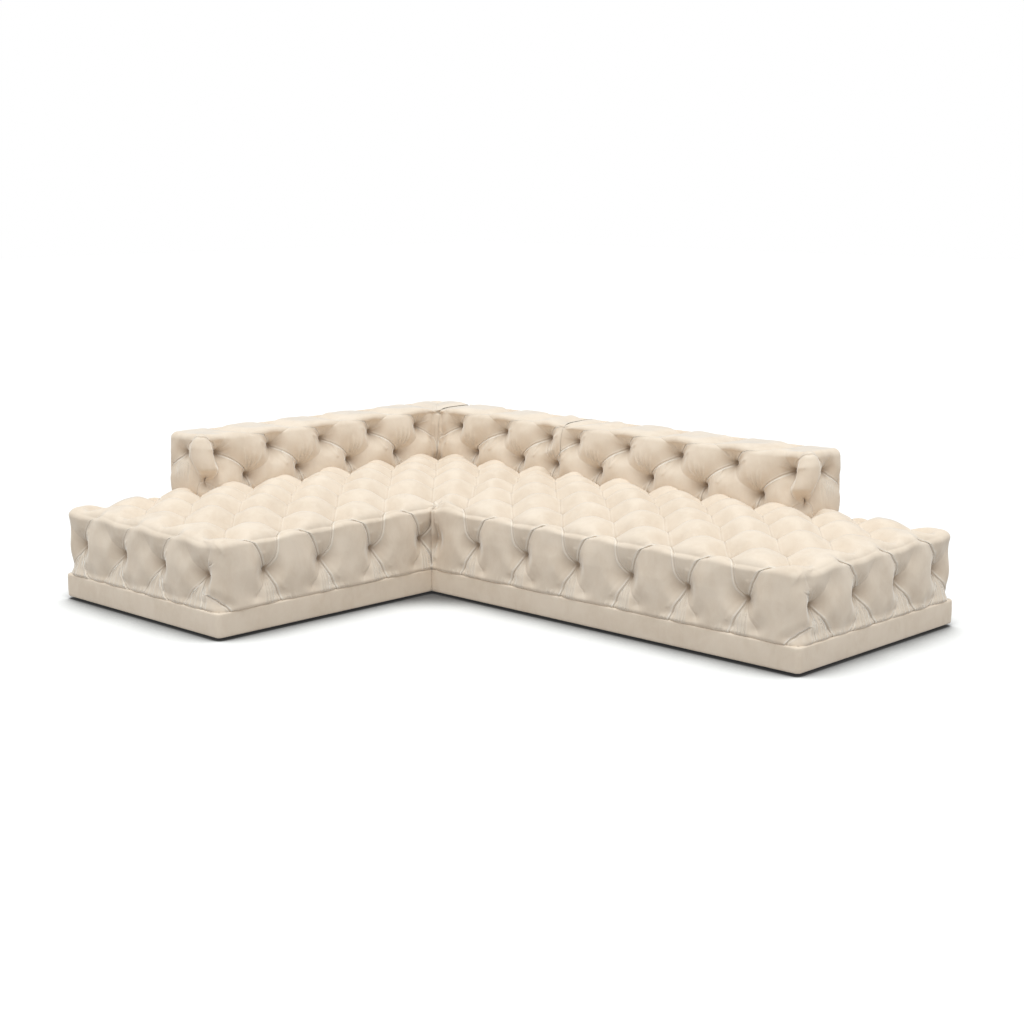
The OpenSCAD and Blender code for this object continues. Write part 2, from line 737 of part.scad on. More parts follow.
// Node modules of the bench unit
module bench_glides() color("dimgray") in_bench() glides(bench_length);
module bench_dust_cloth() color("black") in_bench() dust_cloth_sheet(bench_length);
module bench_plinth_boards() color("burlywood") difference() {
    in_bench() plinth_boards(bench_length);
    bolt_holes();
}
module bench_glide_blocks() color("tan") in_bench() glide_blocks(bench_length);
module bench_base_rails() color("burlywood") in_bench() base_rails(bench_length);
module bench_seat_boards() color("burlywood") in_bench() seat_boards(bench_box);
module bench_seat_bearers() color("tan") in_bench() seat_bearers(bench_box, bench_first, bench_bearer_rows);
module bench_seat_deck() color("wheat") difference() {
    in_bench() seat_deck(bench_box, bench_tufts);
    bracket_slots();
}
module bench_seat_foam() color("khaki") difference() {
    in_bench() seat_foam(bench_box, bench_tufts);
    bracket_slots();
}
module bench_tie_washers() color("gainsboro") in_bench() tie_washers(bench_tufts);
module bench_tuft_ties() color("ivory") in_bench() tuft_ties(bench_tufts);
module bench_seat_cover() color("antiquewhite") difference() {
    in_bench() seat_cover(bench_length, bench_first, bench_rows, bench_box,
        function(u, v) bench_covered(u, v),
        function(p) p.x == 0,
        function(u, v) bench_edges(u, v));
    bracket_slots();
}
module bench_joint_packer() color("wheat") difference() {
    in_bench() joint_packer([0, band_thickness], [band_thickness, wing_depth - band_thickness]);
    bolt_holes();
}
module bench_band_front() color("antiquewhite") in_bench() band(bench_length, 0, 1);
module bench_band_end() color("antiquewhite") in_bench()
    translate([bench_length, 0, 0]) rotate(90) band(wing_depth, 1, 1);
module bench_band_rear() color("antiquewhite") in_bench()
    translate([bench_length, wing_depth, 0]) rotate(180) band(bench_length, 1, 0);

// Node modules of the back along the chaise
module chaise_back_rails() color("burlywood") difference() {
    in_chaise_back() back_rails(chaise_back_box);
    bracket_slots();
}
module chaise_back_posts() color("tan") in_chaise_back() back_posts(chaise_back_box, long_post_shares);
module chaise_back_panel() color("wheat") in_chaise_back() back_inner_panel(chaise_back_box);
module chaise_back_foam() color("khaki") in_chaise_back() back_foam_slab(chaise_back_box);
module chaise_back_cover() color("antiquewhite") in_chaise_back()
    back_cover(chaise_back_length, [0, chaise_back_length - back_thickness],
        back_open_margin, back_corner_margin, [true, true],
        [[0, 0, lower_tuft_level - back_foot], [0, back_end_tuft, upper_tuft_level - back_foot]]);
module chaise_back_outer_panel() color("antiquewhite") in_chaise_back() outer_back_panel(chaise_back_box);

// Node modules of the back behind the corner
module corner_back_rails() color("burlywood") difference() {
    in_corner_back() back_rails(corner_back_box);
    bracket_slots();
}
module corner_back_posts() color("tan") in_corner_back() back_posts(corner_back_box, short_post_shares);
module corner_back_panel() color("wheat") in_corner_back() back_inner_panel(corner_back_box);
module corner_back_foam() color("khaki") in_corner_back() back_foam_slab(corner_back_box);
module corner_back_cover() color("antiquewhite") in_corner_back()
    back_cover(corner_back_length, [0, corner_back_length],
        back_corner_margin, corner_back_last, [false, false], []);
module corner_back_outer_panel() color("antiquewhite") in_corner_back() outer_back_panel(corner_back_box);

// Node modules of the back behind the bench
module bench_back_rails() color("burlywood") difference() {
    in_bench_back() back_rails(bench_back_box);
    bracket_slots();
}
module bench_back_posts() color("tan") in_bench_back() back_posts(bench_back_box, long_post_shares);
module bench_back_panel() color("wheat") in_bench_back() back_inner_panel(bench_back_box);
module bench_back_foam() color("khaki") in_bench_back() back_foam_slab(bench_back_box);
module bench_back_cover() color("antiquewhite") in_bench_back()
    back_cover(bench_back_length, [0, bench_back_length],
        bench_back_first, back_open_margin, [false, true],
        [[bench_back_length, 0, lower_tuft_level - back_foot],
            [bench_back_length, back_end_tuft, upper_tuft_level - back_foot]]);
module bench_back_outer_panel() color("antiquewhite") in_bench_back() outer_back_panel(bench_back_box);

// Fixings between the units and the backs
module back_brackets() color("silver") brackets(0);

// Bolts through both packers and both plinth boards, with a washer and a hexagon at each end
module joint_bolts() color("silver")
    for (q = bolt_places())
        translate(q) rotate([0, 90, 0]) {
            cylinder(d = bolt_diameter, h = (block_inset + bolt_head) * 2, center = true);
            for (end = [0, 1]) mirror([0, 0, end]) translate([0, 0, block_inset]) {
                cylinder(d = bolt_washer, h = washer_thickness);
                translate([0, 0, washer_thickness]) cylinder(d = bolt_head_width, h = bolt_head, $fn = 6);
            }
        }

chaise_glides();
chaise_dust_cloth();
chaise_plinth_boards();
chaise_glide_blocks();
chaise_base_rails();
chaise_seat_boards();
chaise_seat_bearers();
chaise_seat_deck();
chaise_seat_foam();
chaise_tie_washers();
chaise_tuft_ties();
chaise_seat_cover();
chaise_joint_packer();
chaise_band_inner();
chaise_band_end();
chaise_band_outer();
chaise_band_rear();
bench_glides();
bench_dust_cloth();
bench_plinth_boards();
bench_glide_blocks();
bench_base_rails();
bench_seat_boards();
bench_seat_bearers();
bench_seat_deck();
bench_seat_foam();
bench_tie_washers();
bench_tuft_ties();
bench_seat_cover();
bench_joint_packer();
bench_band_front();
bench_band_end();
bench_band_rear();
chaise_back_rails();
chaise_back_posts();
chaise_back_panel();
chaise_back_foam();
chaise_back_cover();
chaise_back_outer_panel();
corner_back_rails();
corner_back_posts();
corner_back_panel();
corner_back_foam();
corner_back_cover();
corner_back_outer_panel();
bench_back_rails();
bench_back_posts();
bench_back_panel();
bench_back_foam();
bench_back_cover();
bench_back_outer_panel();
back_brackets();
joint_bolts();
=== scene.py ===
"""A deep tufted L-shaped lounge sofa in cream velvet: a chaise unit that takes the corner and a bench unit."""

import math
import random

import bmesh
import bpy
import numpy as np
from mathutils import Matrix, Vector


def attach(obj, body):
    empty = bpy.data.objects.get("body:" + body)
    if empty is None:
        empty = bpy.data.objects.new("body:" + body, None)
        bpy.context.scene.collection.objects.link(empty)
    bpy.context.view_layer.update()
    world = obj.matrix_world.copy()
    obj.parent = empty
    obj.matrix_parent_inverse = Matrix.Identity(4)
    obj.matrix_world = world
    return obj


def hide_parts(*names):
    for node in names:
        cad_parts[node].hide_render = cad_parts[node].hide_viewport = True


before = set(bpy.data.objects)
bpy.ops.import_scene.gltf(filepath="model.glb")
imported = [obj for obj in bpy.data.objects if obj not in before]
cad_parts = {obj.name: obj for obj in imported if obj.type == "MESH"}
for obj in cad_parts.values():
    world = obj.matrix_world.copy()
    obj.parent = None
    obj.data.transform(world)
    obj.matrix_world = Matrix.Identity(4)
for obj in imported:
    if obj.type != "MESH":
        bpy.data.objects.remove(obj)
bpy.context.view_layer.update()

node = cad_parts


# Glides:
# Flat black plastic discs screwed under the plinth's glide blocks, six to a unit.
# They lift the plinth just off the floor and leave the dark line that shows below it.

class Link:
    """A value in a finish. Sums, products and the like of it become Math nodes."""

    def __init__(self, finish, socket):
        self.finish = finish
        self.socket = socket

    def math(self, operation, first, second):
        return self.finish.add("ShaderNodeMath", {"operation": operation}, {0: first, 1: second})

    def __add__(self, other):
        return self.math("ADD", self, other)

    __radd__ = __add__

    def __sub__(self, other):
        return self.math("SUBTRACT", self, other)

    def __rsub__(self, other):
        return self.math("SUBTRACT", other, self)

    def __mul__(self, other):
        return self.math("MULTIPLY", self, other)

    __rmul__ = __mul__

    def __truediv__(self, other):
        return self.math("DIVIDE", self, other)

    def __pow__(self, other):
        return self.math("POWER", self, other)


class Finish:
    """One material, or the world: its shader, and the nodes that feed it."""

    def __init__(self, name, world=None, **constants):
        self.material = world or bpy.data.materials.new(name)
        self.material.use_nodes = True
        self.tree = self.material.node_tree
        self.shader = self.tree.nodes["Background" if world else "Principled BSDF"]
        self.wire(self.shader, {key.replace("_", " "): value for key, value in constants.items()})

    def wire(self, target, inputs):
        for key, value in inputs.items():
            socket = target.inputs[key]
            if isinstance(value, Link):
                self.tree.links.new(value.socket, socket)
            elif socket.type == "RGBA" and len(value) == 3:
                socket.default_value = (*value, 1)
            else:
                socket.default_value = value

    def add(self, kind, settings, inputs, output=0):
        """Any node: its type, its settings, its inputs, and the output wanted."""
        made = self.tree.nodes.new(kind)
        for key, value in settings.items():
            if key == "stops":
                ramp = made.color_ramp
                while len(ramp.elements) < len(value):
                    ramp.elements.new(1)
                for stop, (position, colour) in zip(ramp.elements, value):
                    stop.position = position
                    stop.color = (*colour, 1) if len(colour) == 3 else colour
            else:
                setattr(made, key, value)
        self.wire(made, inputs)
        return Link(self, made.outputs[output])

    def place(self, scale=(1, 1, 1), turn=(0, 0, 0)):
        """The point on the piece, in metres, stretched and turned."""
        point = self.add("ShaderNodeTexCoord", {}, {}, "Object")
        return self.add("ShaderNodeMapping", {}, {"Vector": point, "Scale": scale, "Rotation": turn})

    def noise(self, point, scale, detail=2.0, roughness=0.5, distortion=0.0):
        return self.add("ShaderNodeTexNoise", {}, {
            "Vector": point, "Scale": scale, "Detail": detail, "Roughness": roughness, "Distortion": distortion
        }, "Fac")

    def spread(self, value, low, high):
        """Stretches a value from low..high to 0..1."""
        return self.add("ShaderNodeMapRange", {"interpolation_type": "SMOOTHSTEP"},
                        {"Value": value, "From Min": low, "From Max": high})

    def blend(self, factor, one, other):
        """A colour between two."""
        return self.add("ShaderNodeMix", {"data_type": "RGBA"}, {0: factor, 6: one, 7: other}, 2)

    def bump(self, height, strength, distance):
        return self.add("ShaderNodeBump", {}, {"Height": height, "Strength": strength, "Distance": distance})

    def seen(self):
        """1 for what the camera sees, straight or in a gloss or a glass, and 0 for what only lights the sofa."""
        rays = [self.add("ShaderNodeLightPath", {}, {}, f"Is {kind} Ray")
                for kind in ("Camera", "Glossy", "Transmission")]
        return rays[0].math("MAXIMUM", rays[0].math("MAXIMUM", rays[0], rays[1]), rays[2])

    def finished(self, **links):
        self.wire(self.shader, {key.replace("_", " "): value for key, value in links.items()})
        return self.material


def dress(finish, *names):
    """Gives CAD pieces their finish."""
    for name in names:
        piece = node[name]
        piece.data.materials.clear()
        piece.data.materials.append(finish)


glide_plastic = Finish("glide_plastic", Specular_IOR_Level=0.4)
point = glide_plastic.place()
scuff = glide_plastic.noise(point, 90, 4, 0.6)
glide_plastic.finished(
    Base_Color=glide_plastic.blend(scuff, (0.018, 0.018, 0.02), (0.045, 0.044, 0.043)),
    Roughness=scuff * 0.3 + 0.4,
    Normal=glide_plastic.bump(scuff, 0.2, 0.0006))
dress(glide_plastic.material, "chaise_glides", "bench_glides")


# Dust cloths:
# Thin black non-woven cloth, stapled under each unit behind the velvet's turned-in edge.
# Its fibres are pressed in a fine dimpled pattern.

dust_cloth = Finish("dust_cloth", Roughness=0.95, Specular_IOR_Level=0.15)
point = dust_cloth.place()
fibre = dust_cloth.noise(point, 700, 3, 0.7)
dimple = dust_cloth.add("ShaderNodeTexVoronoi", {"feature": "F1"}, {"Vector": point, "Scale": 420}, "Distance")
dust_cloth.finished(
    Base_Color=dust_cloth.blend(fibre, (0.012, 0.012, 0.013), (0.038, 0.038, 0.04)),
    Normal=dust_cloth.bump(dimple + fibre, 0.3, 0.0004))
dress(dust_cloth.material, "chaise_dust_cloth", "bench_dust_cloth")


# Timber:
# Planed softwood: plinth boards, glide blocks, base rails, seat boxes, bearers and the frames of the backs.
# All of it is glued and stapled, and none of it shows once the velvet is on.

def timber(name, grain_turn):
    """Softwood with its grain along one axis."""
    wood = Finish(name, Specular_IOR_Level=0.35)
    along = wood.place((1, 1, 1), grain_turn)
    long_grain = wood.add("ShaderNodeMapping", {}, {"Vector": along, "Scale": (1.2, 14, 14)})
    rings = wood.noise(long_grain, 3.2, 5, 0.6, 0.8)
    pores = wood.noise(wood.add("ShaderNodeMapping", {}, {"Vector": along, "Scale": (6, 190, 190)}), 2.0, 2)
    tone = wood.spread(rings, 0.3, 0.72)
    wood.finished(
        Base_Color=wood.blend(pores * 0.35, wood.blend(tone, (0.56, 0.37, 0.19), (0.74, 0.55, 0.33)),
                              (0.42, 0.26, 0.12)),
        Roughness=0.75 - tone * 0.15,
        Normal=wood.bump(pores + rings, 0.25, 0.0008))
    return wood.material


along_x = timber("timber_along_x", (0, 0, 0))
along_y = timber("timber_along_y", (0, 0, math.radians(90)))
dress(along_y, "chaise_plinth_boards", "chaise_base_rails", "chaise_seat_boards", "chaise_glide_blocks",
      "chaise_back_rails", "chaise_back_posts", "bench_seat_bearers")
dress(along_x, "bench_plinth_boards", "bench_base_rails", "bench_seat_boards", "bench_glide_blocks",
      "corner_back_rails", "corner_back_posts", "bench_back_rails", "bench_back_posts", "chaise_seat_bearers")


# Plywood:
# Birch plywood: the seat decks, the panels inside the backs and the packers where the units meet.
# Its face veneer is pale, with a long figure.

plywood = Finish("plywood", Specular_IOR_Level=0.35)
point = plywood.place((1, 9, 1))
figure = plywood.spread(plywood.noise(point, 2.4, 5, 0.55, 1.4), 0.3, 0.7)
plywood.finished(
    Base_Color=plywood.blend(figure, (0.66, 0.49, 0.29), (0.80, 0.66, 0.45)),
    Roughness=0.8 - figure * 0.12,
    Normal=plywood.bump(figure, 0.15, 0.0004))
dress(plywood.material, "chaise_seat_deck", "bench_seat_deck", "chaise_back_panel", "corner_back_panel",
      "bench_back_panel", "chaise_joint_packer", "bench_joint_packer")


# Foam:
# Open-cell upholstery foam, glued on the decks and on the fronts of the back panels.
# It is cut square, and its pores show as a fine pitting.

foam = Finish("foam", Roughness=0.95, Specular_IOR_Level=0.1)
point = foam.place()
cells = foam.add("ShaderNodeTexVoronoi", {"feature": "F1"}, {"Vector": point, "Scale": 600}, "Distance")
foam.finished(
    Base_Color=foam.blend(cells, (0.78, 0.70, 0.44), (0.88, 0.82, 0.60)),
    Normal=foam.bump(cells, 0.5, 0.0006))
dress(foam.material, "chaise_seat_foam", "bench_seat_foam", "chaise_back_foam", "corner_back_foam",
      "bench_back_foam")


# Ties, washers, brackets and bolts:
# Waxed twine holds each tuft to a zinc-plated washer under the deck.
# Zinc-plated brackets tie the backs to the seat boxes, and three bolts join the two units.

twine = Finish("twine", Roughness=0.8)
lay = twine.add("ShaderNodeTexWave", {"wave_type": "BANDS", "bands_direction": "DIAGONAL"},
                {"Vector": twine.place(), "Scale": 260, "Distortion": 1.5}, "Fac")
twine.finished(
    Base_Color=twine.blend(lay, (0.62, 0.56, 0.45), (0.82, 0.78, 0.68)),
    Normal=twine.bump(lay, 0.5, 0.0004))
dress(twine.material, "chaise_tuft_ties", "bench_tuft_ties")

zinc = Finish("zinc_steel", Metallic=1.0)
bloom = zinc.noise(zinc.place(), 60, 4, 0.65)
zinc.finished(
    Base_Color=zinc.blend(bloom, (0.56, 0.57, 0.60), (0.74, 0.75, 0.77)),
    Roughness=bloom * 0.3 + 0.22,
    Normal=zinc.bump(bloom, 0.08, 0.0003))
dress(zinc.material, "chaise_tie_washers", "bench_tie_washers", "back_brackets", "joint_bolts")


# Plinth bands:
# Cream velvet over thin foam, wrapped round the plinth boards and stapled underneath.
# Each unit has one long strip with soft upper and lower edges, turned tightly round the corners.

def velvet(name, folds_and_painted_light):
    """Short-piled cream velvet. For tufted covers it adds fold bumps, painted shade in tufts and pleats, and painted
    highlights on lips.
    """
    cloth = Finish(name, Roughness=0.9, Specular_IOR_Level=0.3,
                   Sheen_Weight=1.0, Sheen_Roughness=0.30, Sheen_Tint=(1.0, 1.0, 0.98))
    point = cloth.place()
    patches = cloth.spread(cloth.noise(point, 7.5, 3, 0.55, 0.6), 0.3, 0.7)
    strokes = cloth.spread(cloth.noise(cloth.place((1, 1, 0.6)), 34, 3, 0.6, 0.5), 0.3, 0.7)
    pile = cloth.noise(point, 1500, 2, 0.6)
    colour = cloth.blend(patches, (0.745, 0.629, 0.508), (0.812, 0.699, 0.578))
    colour = cloth.blend(strokes * 0.35, colour, (0.852, 0.755, 0.635))
    colour = cloth.blend(pile * 0.18, colour, (0.64, 0.52, 0.395))
    relief = pile * 0.00009 + strokes * 0.00006
    if folds_and_painted_light:
        mark = lambda name: cloth.add("ShaderNodeAttribute", {"attribute_name": name}, {}, "Fac")
        bell = lambda x, centre, width: cloth.add(
            "ShaderNodeMath", {"operation": "EXPONENT"}, {0: ((x - centre) / width) ** 2 * -1})
        fold, folded, wrinkle, wrinkled = (mark(n) for n in ("fold", "folded", "wrinkle", "wrinkled"))
        lip = (bell(fold, 0.0082, 0.0042) + bell(fold, -0.0074, 0.0038) * 0.55) * folded
        gutter = bell(fold, 0.0004, 0.0024) * folded
        ridge = bell(wrinkle, 0, 0.0038) * wrinkled
        relief = relief + lip * 0.0026 - gutter * 0.0009 + ridge * 0.0022
        # Painted shade: the colour is darkened into the tufts' pits, along the pleats and in the valleys between
        # pillows.
        colour = cloth.blend(mark("crease") * 0.76, colour, (0.31, 0.22, 0.145))
        # Painted shade: a thin darker line down the middle of each fold.
        colour = cloth.blend(gutter * 0.11, colour, (0.36, 0.27, 0.19))
        # Painted highlight: the colour is lightened along the fold lips and the wrinkle ridges.
        colour = cloth.blend(lip * 0.60 + ridge * 0.22, colour, (0.98, 0.92, 0.83))
    cloth.finished(
        Base_Color=colour,
        Roughness=0.95 - strokes * 0.12,
        Normal=cloth.bump(relief, 1.0, 1.0))
    return cloth.material


velvet_plain = velvet("velvet_plain", False)

mm = 0.001
sofa_length = 3000 * mm
chaise_length = 2220 * mm
wing_depth = 1070 * mm
half_x = sofa_length / 2
half_y = chaise_length / 2
joint_x = wing_depth - half_x
bench_length = sofa_length - wing_depth
bench_y = half_y - wing_depth
free_inner = chaise_length - wing_depth
glide_height = 12 * mm
plinth_top = 112 * mm
band_thickness = 12 * mm
band_reach = 3.5 * mm
band_swell = 1.6 * mm
band_ripple = 0.35 * mm
ledge = 34 * mm
ledge_rise = 0.8 * mm


def in_chaise(points):
    """From the chaise unit's frame, u from its open end and v from its inner side, to the sofa's."""
    return np.stack([joint_x - points[:, 1], points[:, 0] - half_y, points[:, 2]], 1)


def in_bench(points):
    """From the bench unit's frame, u from the joint and v from its front, to the sofa's."""
    return np.stack([joint_x + points[:, 0], bench_y + points[:, 1], points[:, 2]], 1)


def piece(name, points, faces, finish, slot):
    """A new piece of the sofa from its points and faces."""
    mesh = bpy.data.meshes.new(name)
    mesh.from_pydata(points, [], faces)
    mesh.polygons.foreach_set("use_smooth", [True] * len(mesh.polygons))
    mesh.materials.append(finish)
    made = bpy.data.objects.new(name, mesh)
    bpy.context.scene.collection.objects.link(made)
    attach(made, "root")
    return made


def plinth_band(name, corners, place, replaced):
    """A velvet strip that follows the plinth's corners, given counter-clockwise in a unit's frame."""
    radius = 18 * mm
    step = 12 * mm
    path = []
    for k, corner in enumerate(corners):
        here = np.array(corner)
        if k in (0, len(corners) - 1):
            path.append((here, None))
            continue
        before = np.array(corners[k - 1]) - here
        after = np.array(corners[k + 1]) - here
        before = before / np.linalg.norm(before)
        after = after / np.linalg.norm(after)
        middle = here + (before + after) * radius
        for turn in np.linspace(0, 1, 7):
            angle = turn * math.pi / 2
            outward = -after * math.cos(angle) - before * math.sin(angle)
            path.append((middle + outward * radius, outward))
    rows = []
    for (a, _), (b, _) in zip(path[:-1], path[1:]):
        count = max(1, round(np.linalg.norm(b - a) / step))
        rows += [a + (b - a) * k / count for k in range(count)]
    rows = np.array(rows + [path[-1][0]])
    tangent = np.gradient(rows, axis=0)
    tangent /= np.linalg.norm(tangent, axis=1, keepdims=True)
    outward = np.stack([tangent[:, 1], -tangent[:, 0]], 1)
    height = plinth_top - glide_height
    edge = 8 * mm
    profile = [(-band_thickness, 0), (-edge, 0)]
    for turn in np.linspace(0.2, 1, 5):
        profile.append((-edge + edge * math.sin(turn * math.pi / 2), edge - edge * math.cos(turn * math.pi / 2)))
    profile += [(0, z) for z in np.linspace(edge * 2, height - edge * 2, 9)]
    for turn in np.linspace(0, 0.8, 5):
        profile.append((-edge + edge * math.cos(turn * math.pi / 2),
                        height - edge + edge * math.sin(turn * math.pi / 2)))
    profile += [(-edge, height), (-ledge, height + ledge_rise), (-ledge, height), (-band_thickness, height)]
    profile = np.array(profile)
    points = []
    for k, (row, out) in enumerate(zip(rows, outward)):
        along = k * step
        for depth, level in profile:
            share = level / height
            swell = band_swell * math.sin(math.pi * share)
            ripple = band_ripple * (math.sin(along * 9.1) + math.sin(along * 23.0 + 1.3)) * math.sin(math.pi * share)
            reach = depth + (swell + ripple if depth > -edge else 0) + band_reach
            points.append([*(row + out * reach), glide_height + level])
    points = place(np.array(points))
    n = len(profile)
    faces = [[k * n + i, (k + 1) * n + i, (k + 1) * n + (i + 1) % n, k * n + (i + 1) % n]
             for k in range(len(rows) - 1) for i in range(n)]
    faces += [list(range(n)), [(len(rows) - 1) * n + i for i in reversed(range(n))]]
    made = piece(name, points, faces, velvet_plain, "velvet_plain")
    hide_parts(*replaced)
    return made


plinth_band("chaise_plinth_band",
            [(free_inner, 0), (0, 0), (0, wing_depth), (chaise_length, wing_depth), (chaise_length, 0)][::-1],
            in_chaise,
            ["chaise_band_inner", "chaise_band_end", "chaise_band_outer", "chaise_band_rear"])
plinth_band("bench_plinth_band",
            [(0, 0), (bench_length, 0), (bench_length, wing_depth), (0, wing_depth)],
            in_bench,
            ["bench_band_front", "bench_band_end", "bench_band_rear"])


# Seat covers:
# Velvet over moulded foam, drawn down by twine into rows of blind diamond tufts.
# The cloth is folded into a pleat from each tuft to its neighbours, and stapled under the seat box.

seat_edge = 398 * mm
seat_crown = 80 * mm
seat_round = 48 * mm
rim_round = 34 * mm
side_swell = 9 * mm
rim_wave = 7 * mm
corner_tuck = 2 * mm
back_foot = 392 * mm
back_thickness = 240 * mm
open_end = 550 * mm
side_pad = 60 * mm
joint_pad = 30 * mm
slab_top = 350 * mm
tuft_long = 142.5 * mm
tuft_cross = 140 * mm
row_first = 115 * mm
side_tuft_level = 246 * mm
cloth_step = 5 * mm
slab_clearance = 4 * mm
sharp_fold = math.radians(72)


def smooth_step(x):
    x = np.clip(x, 0, 1)
    return x * x * (3 - 2 * x)


def spaced(length, step):
    return np.linspace(0, length, max(2, round(length / step) + 1))


def box_skin(size, foot, step):
    """Points and quads over the top and the four sides of a block, from its foot up."""
    u, v, z = (spaced(size[0], step), spaced(size[1], step), foot + spaced(size[2] - foot, step))
    points, faces, start = [], [], 0
    sheets = [
        (u, v, lambda a, b: (a, b, np.full_like(a, size[2])), False),
        (u, z, lambda a, b: (a, np.zeros_like(a), b), False),
        (u, z, lambda a, b: (a, np.full_like(a, size[1]), b), True),
        (v, z, lambda a, b: (np.zeros_like(a), a, b), True),
        (v, z, lambda a, b: (np.full_like(a, size[0]), a, b), False),
    ]
    for first, second, lay_out, flip in sheets:
        a, b = np.meshgrid(first, second, indexing="ij")
        points.append(np.stack([x.ravel() for x in lay_out(a, b)], 1))
        rows, columns = len(first), len(second)
        k = (np.arange(rows - 1)[:, None] * columns + np.arange(columns - 1)).ravel() + start
        quad = np.stack([k, k + columns, k + columns + 1, k + 1], 1)
        faces.append(quad[:, ::-1] if flip else quad)
        start += rows * columns
    points, faces = np.concatenate(points), np.concatenate(faces)
    _, keep, same = np.unique(np.round(points, 6), axis=0, return_index=True, return_inverse=True)
    return points[keep], same.ravel()[faces]


def rounded(p, size, low, high):
    """A block's surface points with its edges rounded, and their outward directions."""
    q = np.stack([
        np.clip(p[:, 0], low[:, 0], size[0] - high[:, 0]),
        np.clip(p[:, 1], low[:, 1], size[1] - high[:, 1]),
        np.minimum(p[:, 2], size[2] - high[:, 2])], 1)
    r = np.maximum(np.where(p < q, low, high), 1e-9)
    d = (p - q) / r
    n = d / np.maximum(np.linalg.norm(d, axis=1, keepdims=True), 1e-9)
    return q + n * r, n


class Seat:
    """The stretched shape of a seat cover before it is tufted, in its unit's frame."""

    def __init__(self, place, length, first, rows, backs, touch, edges, corners):
        self.place = place
        self.corners = corners
        self.size = np.array([length, wing_depth, seat_edge])
        self.first = first
        self.rows = rows
        self.backs = backs
        self.touch = touch
        self.edges = edges

    def under_back(self, p):
        """1 where a back presses the seat down, 0 where the seat is free."""
        inside = np.full(len(p), -1.0)
        for low_u, high_u, low_v, high_v in self.backs:
            inside = np.maximum(inside, np.minimum.reduce(
                [p[:, 0] - low_u, high_u - p[:, 0], p[:, 1] - low_v, high_v - p[:, 1]]))
        return smooth_step((inside + 0.012) / 0.05)

    def base(self, p):
        p = np.atleast_2d(np.asarray(p, float))
        touch_u, touch_v = self.touch(p)
        low = np.full((len(p), 3), seat_round)
        low[:, 0] *= 1 - touch_u
        low[:, 1] *= 1 - touch_v
        shell, n = rounded(p, self.size, low, np.tile([seat_round, seat_round, rim_round], (len(p), 1)))
        side_drop = seat_edge - side_tuft_level
        touching = np.maximum(touch_u * (p[:, 0] == 0), touch_v * (p[:, 1] == 0))
        level = np.clip((p[:, 2] - plinth_top) / (seat_edge - plinth_top), 0, 1)
        corner = np.ones(len(p))
        for u, v in self.corners:
            corner *= 1 - np.exp(-((p[:, 0] - u) ** 2 + (p[:, 1] - v) ** 2) / 0.055 ** 2)
        full = smooth_step((level + 0.025) / 0.06) * np.minimum(1, (1 - level) * 2.2)
        inset = (corner_tuck * (1 - corner) * (1 - level) ** 3 - side_swell * full * corner) * (1 - touching)
        along, across = self.edges(p[:, 0], p[:, 1])
        reach = wing_depth / 2
        climb = [np.sin(np.clip(m / reach, 0, 1) * math.pi / 2) ** 0.85 for m in (along, across)]
        pressed = self.under_back(p)
        rise = seat_crown * climb[0] * climb[1] * (1 - pressed) + (back_foot - seat_edge) * pressed
        near = [np.exp(-(m / 0.045) ** 2) for m in (along, across)]
        away = [1 - np.exp(-(m / 0.080) ** 2) for m in (along, across)]
        wave = (np.cos(math.pi * (p[:, 0] - self.first) / tuft_long) * near[1] * away[0]
                - np.cos(math.pi * (p[:, 1] - row_first) / tuft_cross) * near[0] * away[1])
        rise = rise + rim_wave * wave * (1 - pressed)
        lift = rise * np.maximum(0, (p[:, 2] - side_tuft_level) / side_drop)
        shell[:, :2] -= n[:, :2] * inset[:, None]
        shell[:, 2] += lift
        return shell, n

    def rim(self, side, along, t):
        """The place t in from a rim, or -t down from it, on one of the four sides."""
        inward, level = max(t, 0), seat_edge + min(t, 0)
        return {
            "front": (along, inward, level),
            "rear": (along, wing_depth - inward, level),
            "low": (inward, along, level),
            "high": (self.size[0] - inward, along, level),
        }[side]


class Pleat:
    """A fold of the cloth: the line that it follows, how deep it is, and on which side its lip lies."""

    def __init__(self, points, depth=1.0, middle=0.6, reach=0.085, lip=0.0, fade=(0, 0), groove=0.15, crisp=0.5):
        self.points = np.array(points, float)
        self.depth = depth
        self.middle = middle
        self.reach = reach
        self.lip = lip
        self.fade = fade
        self.groove = groove
        self.crisp = crisp


def wrinkle(points, strength=0.8, width=0.0075, height=0.0012, fade=0.6):
    """A ridge of loose cloth that runs out of a tuft or a pleat."""
    length = np.linalg.norm(np.diff(points, axis=0), axis=1).sum()
    made = Pleat(points, reach=0.02, fade=(min(0.02, length / 3), length * fade), crisp=-strength)
    made.width, made.height = width, height
    return made


def bend(points, count=12):
    """A smooth line through two to five points."""
    points = np.array(points, float)
    if len(points) == 2:
        return points[0] + (points[1] - points[0]) * np.linspace(0, 1, count)[:, None]
    ends = np.vstack([2 * points[0] - points[1], points, 2 * points[-1] - points[-2]])
    out = []
    each = max(2, count // (len(points) - 1))
    for k in range(1, len(ends) - 2):
        a, b, c, d = ends[k - 1:k + 3]
        last = k == len(ends) - 3
        for t in np.linspace(0, 1, each + (1 if last else 0), endpoint=last):
            out.append(0.5 * (2 * b + (c - a) * t + (2 * a - 5 * b + 4 * c - d) * t * t
                              + (3 * b - a - 3 * c + d) * t ** 3))
    return np.array(out)


